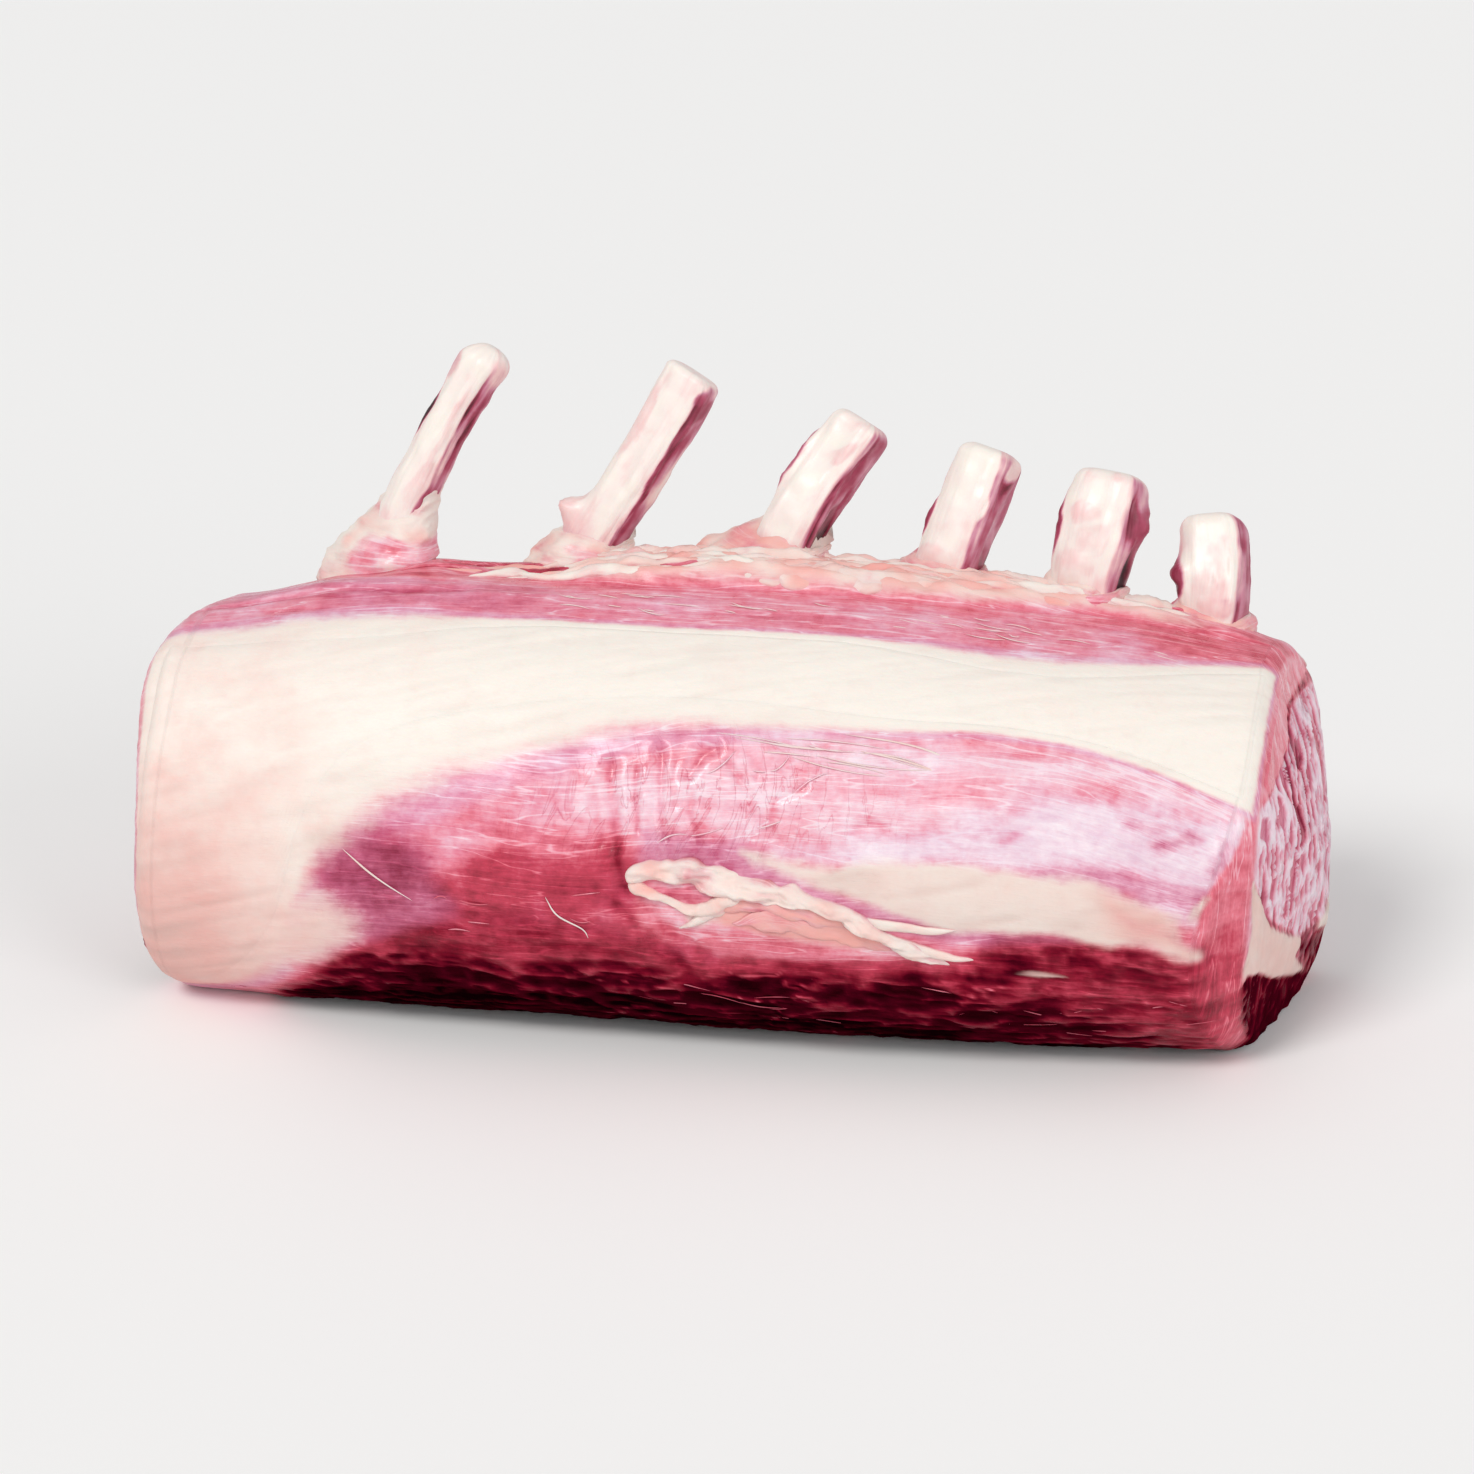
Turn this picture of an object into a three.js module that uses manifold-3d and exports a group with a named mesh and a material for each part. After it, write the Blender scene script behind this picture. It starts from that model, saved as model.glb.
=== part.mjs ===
// A raw rack of lamb, French trimmed, with six rib bones.
// It stands on its chine edge: the fat side faces -Y, the rib side faces +Y, and the rib bones rise to +Z.
// Millimetres. The origin is on the flat underside, near the middle of the loin's length.
import * as THREE from "three";
import { mergeVertices, toCreasedNormals } from "three/addons/utils/BufferGeometryUtils.js";
import Module from "manifold-3d";

const wasm = await Module();
wasm.setup();

// the loin's driving sizes
const loinHeight = 70; // flat underside to the crown, at mid length
const loinFront = 36; // the belly stands this far in front of the origin
const loinBack = 27; // the chine edge stands this far behind it
const leftEnd = -99; // where the loin ends at its front foot
const rightEnd = 87;
const endLean = 0.04; // how far both cuts run to the right for each mm upwards
const cutTurn = 0.26; // and for each mm from the front towards the rib side, at the underside
const cutTurnLoss = 0.11; // how much less that is at the crown
const leftTaper = 0.09; // share of the height lost at the ends
const rightTaper = 0.09;
const depthTaper = 0.12; // share of the depth lost at the ends
const leftRound = 7.5; // rounding of the rim at each end
const rightRound = 3;
const bevelRound = 6; // extra rounding of the right rim where the belly meets the cut
const bevelAround = 0.24; // how far round the section that is
const bevelSpread = 0.09; // and how far to both sides of that it fades
const endDome = 1.5; // how far the middle of a cut face stands out
// The front as the cuts see it: where it stands out furthest, as a share of the height, how far it reaches
// up and down from there, how square its curve is, and the least share of its depth.
const frontCurve = { bulge: 0.4, reach: 0.62, exponent: 2.4, least: 0.12 };

// The section at mid length, as shares of the front or back depth and of the height, from the underside
// round the front and over the crown to the chine edge.
const sectionShape = [
  { name: "underside", y: 0.05, z: -0.04 },
  { name: "front foot", y: -0.47, z: -0.006 },
  { name: "lower belly", y: -0.85, z: 0.13 },
  { name: "belly", y: -1.0, z: 0.38 },
  { name: "upper front", y: -0.88, z: 0.66 },
  { name: "shoulder", y: -0.52, z: 0.88 },
  { name: "crown", y: -0.04, z: 0.985 },
  { name: "rib ridge", y: 0.52, z: 1.0 },
  { name: "back top", y: 0.86, z: 0.9 },
  { name: "back middle", y: 0.84, z: 0.6 },
  { name: "back lower", y: 0.98, z: 0.28 },
  { name: "chine edge", y: 0.9, z: 0.02 },
];

// the rib bones' driving sizes
const ribTurn = THREE.MathUtils.degToRad(20); // each rib is turned about its own length by this much
const ribSquareness = 3; // exponent of the rounded-square rib section
const nubSquareness = 2.2; // and of the first rib's, which is nearly round
const tipRound = 1.6; // rounding of a sawn tip
// How far behind the origin a rib's middle runs, from its foot at the chine to the ridge: it follows the back
// of the loin and stands a little out of it.
const ribRun = [
  { share: 0, depth: 21.5, height: 6 },
  { share: 0.17, depth: 23.4, height: 20 },
  { share: 0.5, depth: 20, height: 43 },
  { share: 1, depth: 18, height: 70 },
];
const ribDepthAtTip = 25;
// The tissue round a rib's root goes down by sunk mm under the ridge. Its half sizes are these shares of the
// bone's, and the wall more.
const collarShape = { wall: 1.1, sunk: 9, widthShare: 0.56, thickShare: 0.53, sides: 16 };
// A shred of meat left on a rib's left side: its radius, its reach as a share of the bare height, and where
// its middle lies from the bone's, as shares of the bone's width and thickness.
const shredShape = { radius: 2.6, reach: 0.3, aside: -0.42, behind: 0.2 };
const upwards = new THREE.Vector3(0, 0, 1);
// foot, exit and tip are the lengthwise places of a rib's middle at the chine, the ridge and the sawn tip.
// The collar of tissue round its root reaches collar mm above the ridge and flares by flare mm on the left.
// shred is the place of a shred, as a share of the bare length.
const ribs = [
  {
    foot: -76, exit: -61, exitZ: 70, tip: -43.8, tipZ: 104.6,
    width: 8.8, thick: 8, collar: 9, flare: 6, nub: true,
  },
  {
    foot: -43, exit: -26, exitZ: 72, tip: -9, tipZ: 101.5,
    width: 9.4, thick: 8, collar: 5.5, flare: 3,
  },
  {
    foot: -9, exit: 7.5, exitZ: 73, tip: 20.3, tipZ: 94.2,
    width: 10.6, thick: 8.4, collar: 5.5, flare: 6, shred: 0.7,
  },
  {
    foot: 22, exit: 34.5, exitZ: 71, tip: 41.8, tipZ: 90.2,
    width: 10.8, thick: 8.4, collar: 4, flare: 2.4, shred: 0.55,
  },
  {
    foot: 51, exit: 59, exitZ: 69, tip: 62.8, tipZ: 86.9,
    width: 12.4, thick: 8.8, collar: 3.5, flare: 2, shred: 0.5,
  },
  {
    foot: 77, exit: 80.5, exitZ: 65, tip: 79.4, tipZ: 80.2,
    width: 10.7, thick: 8.6, collar: 3.5, flare: 2.4, shred: 0.3,
  },
];
const seam = 0.3; // gap between a rib or the fat and the meat it lies in
const smallest = 0.04; // facets whose corners move less than this are merged away

// fat cap and flap
// The borders of the fat cap: how far round the section they lie at places along the loin.
const fatThickness = 3;
const fatEdgeShare = 0.35; // share of that thickness left at the borders
const fatFullness = 0.7; // exponent of the thickening from the borders inwards: less is fuller
const fatUpper = [
  { x: -99, around: 0.455 },
  { x: -40, around: 0.468 },
  { x: 30, around: 0.468 },
  { x: 60, around: 0.466 },
  { x: 95, around: 0.51 },
];
const fatLower = [
  { x: -99, around: 0.11 },
  { x: -84, around: 0.13 },
  { x: -71, around: 0.19 },
  { x: -66, around: 0.25 },
  { x: -58, around: 0.3 },
  { x: -39, around: 0.343 },
  { x: -10, around: 0.378 },
  { x: 25, around: 0.387 },
  { x: 60, around: 0.389 },
  { x: 95, around: 0.35 },
];

// The loose strip of fat on the belly, from its rolled end on the left.
const flap = [
  { x: -9, around: 0.278, halfWidth: 2.2 },
  { x: -2, around: 0.284, halfWidth: 3 },
  { x: 8, around: 0.272, halfWidth: 4 },
  { x: 20, around: 0.258, halfWidth: 4.4 },
  { x: 32, around: 0.24, halfWidth: 3.2 },
  { x: 41, around: 0.228, halfWidth: 1.2 },
];
const flapThickness = 2.6;
// Share of that thickness at each end, and how much it gains over the whole length from there.
const flapEnds = { left: 0.35, leftGain: 5, right: 0.25, rightGain: 2.5 };

// closed surfaces
function middleOf(ring) {
  const sum = ring.reduce((total, point) => total.add(point), new THREE.Vector3());
  return sum.divideScalar(ring.length);
}

// A closed skin over rings that all hold the same number of points. A fan closes both ends.
function skinOver(rings) {
  const sides = rings[0].length;
  const points = [middleOf(rings[0]), ...rings.flat(), middleOf(rings.at(-1))];
  const last = points.length - 1;
  const faces = [];
  for (let j = 0; j < sides; j += 1) {
    const next = (j + 1) % sides;
    faces.push(0, 1 + next, 1 + j);
    for (let i = 0; i + 1 < rings.length; i += 1) {
      const near = 1 + i * sides;
      const far = near + sides;
      faces.push(near + j, near + next, far + j);
      faces.push(near + next, far + next, far + j);
    }
    const rim = last - sides;
    faces.push(last, rim + j, rim + next);
  }
  const geometry = new THREE.BufferGeometry().setFromPoints(points);
  geometry.setIndex(faces);
  return geometry;
}

function toSolid(geometry) {
  const bare = geometry.clone();
  bare.deleteAttribute("normal");
  bare.deleteAttribute("uv");
  const merged = mergeVertices(bare, 1e-4);
  const mesh = new wasm.Mesh({
    numProp: 3,
    vertProperties: new Float32Array(merged.attributes.position.array),
    triVerts: new Uint32Array(merged.index.array),
  });
  const solid = new wasm.Manifold(mesh);
  if (solid.volume() > 0) return solid;
  mesh.triVerts = mesh.triVerts.map((_, k, all) => all[k - (k % 3) + [0, 2, 1][k % 3]]);
  return new wasm.Manifold(mesh);
}

function toGeometry(solid) {
  const mesh = solid.getMesh();
  const geometry = new THREE.BufferGeometry();
  geometry.setAttribute("position", new THREE.BufferAttribute(new Float32Array(mesh.vertProperties), 3));
  geometry.setIndex(new THREE.BufferAttribute(new Uint32Array(mesh.triVerts), 1));
  return toCreasedNormals(geometry, THREE.MathUtils.degToRad(28));
}

// the loin
const sectionCurve = new THREE.CatmullRomCurve3(
  sectionShape.map(({ y, z }) => new THREE.Vector3(0, y * (y < 0 ? loinFront : loinBack), z * loinHeight)),
  true,
  "catmullrom",
  0.5,
);
const girth = 230; // once round the section, about
const sectionMiddle = new THREE.Vector3(0, -4, 0.5 * loinHeight);

// Shares of the full height and depth at x: the loin is thickest at mid length.
const heightShare = (x) => 1 - (x < 0 ? leftTaper * (x / leftEnd) ** 4 : rightTaper * (x / rightEnd) ** 2);
const depthShare = (x) => 1 - depthTaper * (x / rightEnd) ** 2;

// The front's y at a height, which the slanting cuts start from.
function frontProfile(z) {
  const fromBulge = Math.abs(z / loinHeight - frontCurve.bulge) / frontCurve.reach;
  return -loinFront * Math.sqrt(Math.max(frontCurve.least, 1 - fromBulge ** frontCurve.exponent));
}

// Where the skin or the cut face lies along the length for a point of the section.
function lengthwise(along, y, z) {
  const turn = cutTurn - cutTurnLoss * (z / loinHeight);
  return THREE.MathUtils.lerp(leftEnd, rightEnd, along) + turn * (y - frontProfile(z)) + endLean * z;
}

// A point of the loin's skin: along runs 0 to 1 from the left cut to the right one, around runs 0 to 1 from
// the underside round the front, and inset shrinks the section towards its middle.
function loinPoint(along, around, inset = 0, outward = 0) {
  const section = sectionCurve.getPoint(around);
  const fromMiddle = section.clone().sub(sectionMiddle);
  const reach = fromMiddle.length();
  section.copy(sectionMiddle).addScaledVector(fromMiddle, 1 - inset / reach);
  const x = lengthwise(along, section.y, section.z) + outward;
  const z = Math.max(0, section.z * heightShare(x));
  return new THREE.Vector3(x, section.y * depthShare(x), z);
}

// The rounding of a rim at a place round the section.
function rimRound(along, around) {
  if (along < 0.5) return leftRound;
  return rightRound + bevelRound * Math.exp(-(((around - bevelAround) / bevelSpread) ** 2));
}

// Rings over one end: the rim is a quarter round, and the cut face inside it swells a little.
function endRings(along, sides, faceRings, grow) {
  const side = along < 0.5 ? -1 : 1;
  const middle = sectionMiddle.clone();
  middle.x = lengthwise(along, middle.y, middle.z) + side * endDome;
  const rings = [];
  const rimSteps = 3;
  for (let k = 1; k < rimSteps + faceRings; k += 1) {
    const turn = (Math.min(k, rimSteps) / rimSteps) * (Math.PI / 2);
    const share = Math.max(0, k - rimSteps) / faceRings;
    rings.push(
      ringAt(sides, (around) => {
        const round = rimRound(along, around);
        const inset = round * (1 - Math.cos(turn)) - grow;
        const point = loinPoint(along, around, inset, side * (round * (Math.sin(turn) - 1) + grow));
        point.x += side * endDome * share * (1 - share);
        return point.lerp(middle, share);
      }),
    );
  }
  return rings;
}

function ringAt(sides, pointAt) {
  return Array.from({ length: sides }, (_, j) => pointAt(j / sides));
}

// The whole loin, grown by grow mm all round.
function makeLoin(grow = 0) {
  const sides = 38;
  const bodyRings = 30;
  const faceRings = 3;
  const length = rightEnd - leftEnd;
  const rings = endRings(0, sides, faceRings, grow).reverse();
  for (let i = 0; i <= bodyRings; i += 1) {
    rings.push(
      ringAt(sides, (around) => {
        const first = rimRound(0, around) / length;
        const last = 1 - rimRound(1, around) / length;
        return loinPoint(THREE.MathUtils.lerp(first, last, i / bodyRings), around, -grow);
      }),
    );
  }
  rings.push(...endRings(1, sides, faceRings, grow));
  return toSolid(skinOver(rings));
}

// the ribs
const power = (value, exponent) => Math.sign(value) * Math.abs(value) ** exponent;

// A solid swept along a path through the given shares of its length. sizeAt(share) gives the half width and
// half thickness there.
function sweptSolid(path, shares, turn, sides, squareness, sizeAt) {
  const widthAxis = new THREE.Vector3(Math.cos(turn), -Math.sin(turn), 0);
  const rings = [];
  for (const share of shares) {
    const centre = path.getPointAt(share);
    const tangent = path.getTangentAt(share);
    const across = widthAxis.clone().addScaledVector(tangent, -widthAxis.dot(tangent)).normalize();
    const through = tangent.clone().cross(across);
    const [halfWidth, halfThick] = sizeAt(share);
    rings.push(
      ringAt(sides, (around) => {
        const angle = around * 2 * Math.PI;
        return centre
          .clone()
          .addScaledVector(across, halfWidth * power(Math.cos(angle), 2 / squareness))
          .addScaledVector(through, halfThick * power(Math.sin(angle), 2 / squareness));
      }),
    );
  }
  return toSolid(skinOver(rings));
}

function ribPath(rib) {
  const run = ribRun.map(({ share, depth, height }) => {
    const x = THREE.MathUtils.lerp(rib.foot, rib.exit, share);
    return new THREE.Vector3(x, depth * depthShare(x), (height * rib.exitZ) / ribRun.at(-1).height);
  });
  return new THREE.CatmullRomCurve3([...run, new THREE.Vector3(rib.tip, ribDepthAtTip, rib.tipZ)]);
}

function makeRib(rib, grow = 0) {
  const stations = 12;
  const sides = 12;
  const path = ribPath(rib);
  const length = path.getLength();
  const radius = rib.nub ? 0.5 * rib.thick : tipRound;
  const squareness = rib.nub ? nubSquareness : ribSquareness;
  const straight = 1 - radius / length;
  const shares = Array.from({ length: stations }, (_, i) => (i / (stations - 1)) * straight);
  for (const left of [0.5, 0.15, 0]) shares.push(1 - (left * radius) / length);
  return sweptSolid(path, shares, ribTurn, sides, squareness, (share) => {
    const missing = Math.max(0, radius - (1 - share) * length);
    const round = radius - Math.sqrt(Math.max(0, radius ** 2 - missing ** 2));
    return [0.5 * rib.width + grow - round, 0.5 * rib.thick + grow - round];
  });
}

// Shreds of meat left on the side of a rib: a long lump in the rib's own place.
function makeShred(rib, grow = 0) {
  const path = ribPath(rib);
  const bareShare = 1 - (rib.tipZ - rib.exitZ) / path.getLength();
  const place = THREE.MathUtils.lerp(bareShare, 1, rib.shred);
  const middle = path.getPointAt(place);
  const tangent = path.getTangentAt(place);
  const { radius, reach, aside, behind } = shredShape;
  const lump = new THREE.SphereGeometry(1, 10, 8);
  lump.scale(radius + grow, radius + grow, reach * (rib.tipZ - rib.exitZ) + grow);
  lump.applyQuaternion(new THREE.Quaternion().setFromUnitVectors(upwards, tangent));
  lump.translate(middle.x + aside * rib.width, middle.y + behind * rib.thick, middle.z);
  return toSolid(lump);
}

// what lies on the loin
// The value of a table's key at x, on a smooth curve through the table's places.
function valueAlong(places, key, x) {
  const at = (i) => places[THREE.MathUtils.clamp(i, 0, places.length - 1)];
  if (x <= places[0].x) return places[0][key];
  const i = places.findIndex((place) => place.x > x) - 1;
  if (i < 0) return at(places.length)[key];
  const slope = (k) => (at(k + 1)[key] - at(k - 1)[key]) / (at(k + 1).x - at(k - 1).x);
  const width = at(i + 1).x - at(i).x;
  const t = (x - at(i).x) / width;
  const bend = (1 - t) ** 2 * t * slope(i) - t ** 2 * (1 - t) * slope(i + 1);
  return THREE.MathUtils.lerp(at(i)[key], at(i + 1)[key], t * t * (3 - 2 * t)) + width * bend;
}

// The whole layer that the fat cap is cut from: it passes through the skin, and grow widens it all round.
function makeFatLayer(grow = 0) {
  const over = 3; // how far the layer stands out of the skin
  const beyond = 0.08; // how far it runs past both ends, as a share of the length
  const steps = 26;
  const across = 5;
  const rings = [];
  for (let i = 0; i <= steps; i += 1) {
    const along = THREE.MathUtils.lerp(-beyond, 1 + beyond, i / steps);
    const x = THREE.MathUtils.lerp(leftEnd, rightEnd, along);
    const low = valueAlong(fatLower, "around", x) - grow / girth;
    const high = valueAlong(fatUpper, "around", x) + grow / girth;
    const outer = [];
    const inner = [];
    for (let j = 0; j <= across; j += 1) {
      const share = j / across;
      const around = THREE.MathUtils.lerp(low, high, share);
      const fullness = Math.sin(Math.PI * share) ** fatFullness;
      const depth = fatThickness * THREE.MathUtils.lerp(fatEdgeShare, 1, fullness);
      outer.push(loinPoint(along, around, -over));
      inner.push(loinPoint(along, around, depth + grow));
    }
    rings.push([...outer, ...inner.reverse()]);
  }
  return toSolid(skinOver(rings));
}

// The tissue round a rib's root, in level rings: it spreads to the left in the ridge and closes on the bone.
function makeCollar(rib) {
  const { wall, sunk, widthShare, thickShare, sides } = collarShape;
  const below = [-1, -0.3].map((share) => share * sunk);
  const above = [0, 0.2, 0.45, 0.75, 1].map((share) => share * rib.collar);
  const rings = [...below, ...above].map((rise) => {
    const climb = rise / (rib.tipZ - rib.exitZ);
    const x = THREE.MathUtils.lerp(rib.exit, rib.tip, climb);
    const y = THREE.MathUtils.lerp(ribRun.at(-1).depth * depthShare(x), ribDepthAtTip, climb);
    const spread = 0.5 * rib.flare * (1 - Math.max(0, rise) / rib.collar) ** 2;
    const halfWidth = widthShare * rib.width + wall + spread;
    const halfThick = thickShare * rib.thick + wall + 0.6 * spread;
    return ringAt(sides, (part) => {
      const angle = part * 2 * Math.PI;
      const across = halfWidth * Math.cos(angle) - spread;
      const through = halfThick * Math.sin(angle);
      const middle = new THREE.Vector3(across, through, 0).applyAxisAngle(upwards, -ribTurn);
      return middle.add(new THREE.Vector3(x, y, rib.exitZ + rise));
    });
  });
  return toSolid(skinOver(rings));
}

// A flattened strip that follows the skin, with a rounded end on the left and a thin tip on the right.
function makeFlap() {
  const steps = 14;
  const rings = [];
  for (let i = 0; i <= steps; i += 1) {
    const share = i / steps;
    const x = THREE.MathUtils.lerp(flap[0].x, flap.at(-1).x, share);
    const fromLeft = flapEnds.left + flapEnds.leftGain * share;
    const fromRight = flapEnds.right + flapEnds.rightGain * (1 - share);
    const thickness = flapThickness * Math.min(1, fromLeft, fromRight);
    rings.push(
      ringAt(10, (part) => {
        const angle = part * 2 * Math.PI;
        const lift = 2 * seam + 0.5 * thickness * (1 + Math.sin(angle));
        const aside = (valueAlong(flap, "halfWidth", x) * Math.cos(angle)) / girth;
        return onSkin(x, valueAlong(flap, "around", x) + aside, lift);
      }),
    );
  }
  return toSolid(skinOver(rings));
}

// The point of the skin at x, lift mm out from it.
function onSkin(x, around, lift) {
  const length = rightEnd - leftEnd;
  let along = (x - leftEnd) / length;
  for (let step = 0; step < 4; step += 1) {
    along += (x - loinPoint(along, around).x) / length;
  }
  return loinPoint(along, around, -lift);
}

// the assembled rack
const rack = new THREE.Group();

function addPiece(name, solid, colour, roughness) {
  const material = new THREE.MeshStandardMaterial({ color: colour, roughness, metalness: 0 });
  const mesh = new THREE.Mesh(toGeometry(solid), material);
  mesh.name = name;
  rack.add(mesh);
}

// A rib bone with the shred of meat left on it.
function wholeRib(rib, grow) {
  const bone = makeRib(rib, grow);
  return rib.shred ? bone.add(makeShred(rib, grow)) : bone;
}

const loin = makeLoin();
const rooms = [makeFatLayer(seam), ...ribs.map((rib) => makeRib(rib, seam))];
const meat = rooms.reduce((solid, room) => solid.subtract(room), loin);
addPiece("meat", meat.simplify(smallest), "#b5455a", 0.4);
addPiece("fat_cap", loin.intersect(makeFatLayer()).simplify(smallest), "#f3e6d6", 0.45);
addPiece("fat_flap", makeFlap(), "#ecd3bb", 0.45);
const loinAndSeam = makeLoin(seam);
ribs.forEach((rib, index) => {
  const collar = makeCollar(rib).subtract(loinAndSeam).subtract(wholeRib(rib, seam));
  addPiece(`collar_${index + 1}`, collar.simplify(smallest), "#f0cdbd", 0.45);
  addPiece(`rib_${index + 1}`, wholeRib(rib), "#eadccb", 0.45);
});

export default rack;
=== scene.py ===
import bpy
import numpy as np
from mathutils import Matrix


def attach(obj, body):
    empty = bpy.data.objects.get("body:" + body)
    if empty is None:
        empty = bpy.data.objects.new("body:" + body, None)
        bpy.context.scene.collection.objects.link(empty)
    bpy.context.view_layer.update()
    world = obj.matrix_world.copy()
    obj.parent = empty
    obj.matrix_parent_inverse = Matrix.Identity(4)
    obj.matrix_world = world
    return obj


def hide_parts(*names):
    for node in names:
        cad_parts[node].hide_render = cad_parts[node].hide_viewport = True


mm = 0.001
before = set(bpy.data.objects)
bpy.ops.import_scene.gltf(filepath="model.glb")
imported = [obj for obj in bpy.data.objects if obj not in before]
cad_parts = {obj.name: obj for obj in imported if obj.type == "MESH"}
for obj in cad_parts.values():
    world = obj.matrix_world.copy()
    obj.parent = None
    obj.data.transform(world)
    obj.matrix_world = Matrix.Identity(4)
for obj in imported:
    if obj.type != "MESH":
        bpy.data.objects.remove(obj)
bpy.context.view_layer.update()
print("frame loaded")

# The camera stands a little to the right of the middle and looks down at the fat side.
camera = {"place": (96.6, -625.6, 280.0), "downTilt": 20.367, "turn": 8.6, "lens": 97.69, "sensor": 36.0}


def makeCamera(values):
    data = bpy.data.cameras.new("camera")
    data.lens = values["lens"]
    data.sensor_width = values["sensor"]
    data.clip_start = 0.01
    thing = bpy.data.objects.new("camera", data)
    thing.location = np.array(values["place"]) * mm
    thing.rotation_euler = (np.radians(90 - values["downTilt"]), 0, np.radians(values["turn"]))
    bpy.context.scene.collection.objects.link(thing)
    bpy.context.scene.camera = thing


makeCamera(camera)


# numbers shared by the pieces

def mix(a, b, share):
    return a + (b - a) * share


def smooth(low, high, x):
    # 0 below low, 1 above high, 3t^2 - 2t^3 between them
    t = np.clip((x - low) / (high - low), 0, 1)
    return t * t * (3 - 2 * t)


def joined(*parts):
    # arrays of one shape, or numbers, side by side as the last axis
    return np.stack(np.broadcast_arrays(*parts), -1)


def catmullRom(points, i, t):
    # the cubic through points i + 1 and i + 2 whose slopes there are half the chords from i and to i + 3
    a, b, c, d = (points[(i + step) % len(points)] for step in range(4))
    return 0.5 * (2 * b + (c - a) * t + (2 * a - 5 * b + 4 * c - d) * t**2 + (3 * b - a - 3 * c + d) * t**3)


def closerWhere(fine, weight, shares):
    # shares of the way from 0 to 1, moved so that they lie closer together where the weight is higher
    total = np.concatenate([[0], np.cumsum((weight[1:] + weight[:-1]) / 2)])
    return np.interp(shares * total[-1], total, fine)


def closedGrain(u, v, turnU=0.0, turnV=0.0):
    # surface coordinates in cm from those in mm, with the first column again at the end, one turn further on
    u, v = np.broadcast_arrays(u, v)
    u = np.concatenate([u, u[:, :1] + turnU], axis=1)
    v = np.concatenate([v, v[:, :1] + turnV], axis=1)
    return joined(u, v) / 10


latticePrimes = np.array([73856093, 19349663, 83492791])


def valueNoise(points, seed):
    # one random value at each corner of a unit lattice, blended inside each cell with 3t^2 - 2t^3; -1 to 1
    cell = np.floor(points).astype(np.int64)
    t = points - cell
    t = t * t * (3 - 2 * t)
    total = np.zeros(points.shape[:-1])
    for corner in np.ndindex(2, 2, 2):
        k = (cell + np.array(corner)) * latticePrimes
        mixed = k[..., 0] ^ k[..., 1] ^ k[..., 2] ^ (seed * 40503)
        mixed = (mixed ^ (mixed >> 13)) * 1274126177
        value = ((mixed ^ (mixed >> 16)) & 0xFFFF) / 32767.5 - 1
        total += value * np.prod(np.where(np.array(corner) == 1, t, 1 - t), axis=-1)
    return total


def noise(points, size, seed, octaves=3):
    # value noise summed over octaves, each half the size and half the strength of the last
    size = np.broadcast_to(np.asarray(size, float), (3,))
    total = np.zeros(points.shape[:-1])
    strength = 1.0
    for octave in range(octaves):
        total += strength * valueNoise(points / size * 2**octave + 11.3 * octave, seed + octave)
        strength *= 0.5
    return total / (2 - 2 * strength)


def curveAt(x, places):
    # a smooth curve through (x, value) places: cubic pieces whose slopes are those between the neighbours
    px, pv = np.array(places, float).T
    ends = np.concatenate([[px[0]], px, [px[-1]]]), np.concatenate([[pv[0]], pv, [pv[-1]]])
    slope = (ends[1][2:] - ends[1][:-2]) / (ends[0][2:] - ends[0][:-2])
    x = np.clip(x, px[0], px[-1])
    i = np.clip(np.searchsorted(px, x, side="right") - 1, 0, len(px) - 2)
    width = px[i + 1] - px[i]
    t = (x - px[i]) / width
    bend = (1 - t) ** 2 * t * slope[i] - t**2 * (1 - t) * slope[i + 1]
    return mix(pv[i], pv[i + 1], t * t * (3 - 2 * t)) + width * bend


def edgeDistance(a, b, outline, closed=True):
    # distance of each point (a, b) from the nearest segment of the outline, positive inside a closed one
    outline = np.array(outline, float)
    following = np.roll(outline, -1, axis=0)
    nearest = np.full(np.shape(a), 1e9)
    inside = np.zeros(np.shape(a), bool)
    for (x0, y0), (x1, y1) in list(zip(outline, following))[: None if closed else -1]:
        t = ((a - x0) * (x1 - x0) + (b - y0) * (y1 - y0)) / ((x1 - x0) ** 2 + (y1 - y0) ** 2)
        t = np.clip(t, 0, 1)
        nearest = np.minimum(nearest, np.hypot(a - x0 - t * (x1 - x0), b - y0 - t * (y1 - y0)))
        if y0 != y1:
            inside ^= ((y0 > b) != (y1 > b)) & (a < (x1 - x0) * (b - y0) / (y1 - y0) + x0)
    return np.where(inside, nearest, -nearest) if closed else nearest


# meshes

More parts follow.
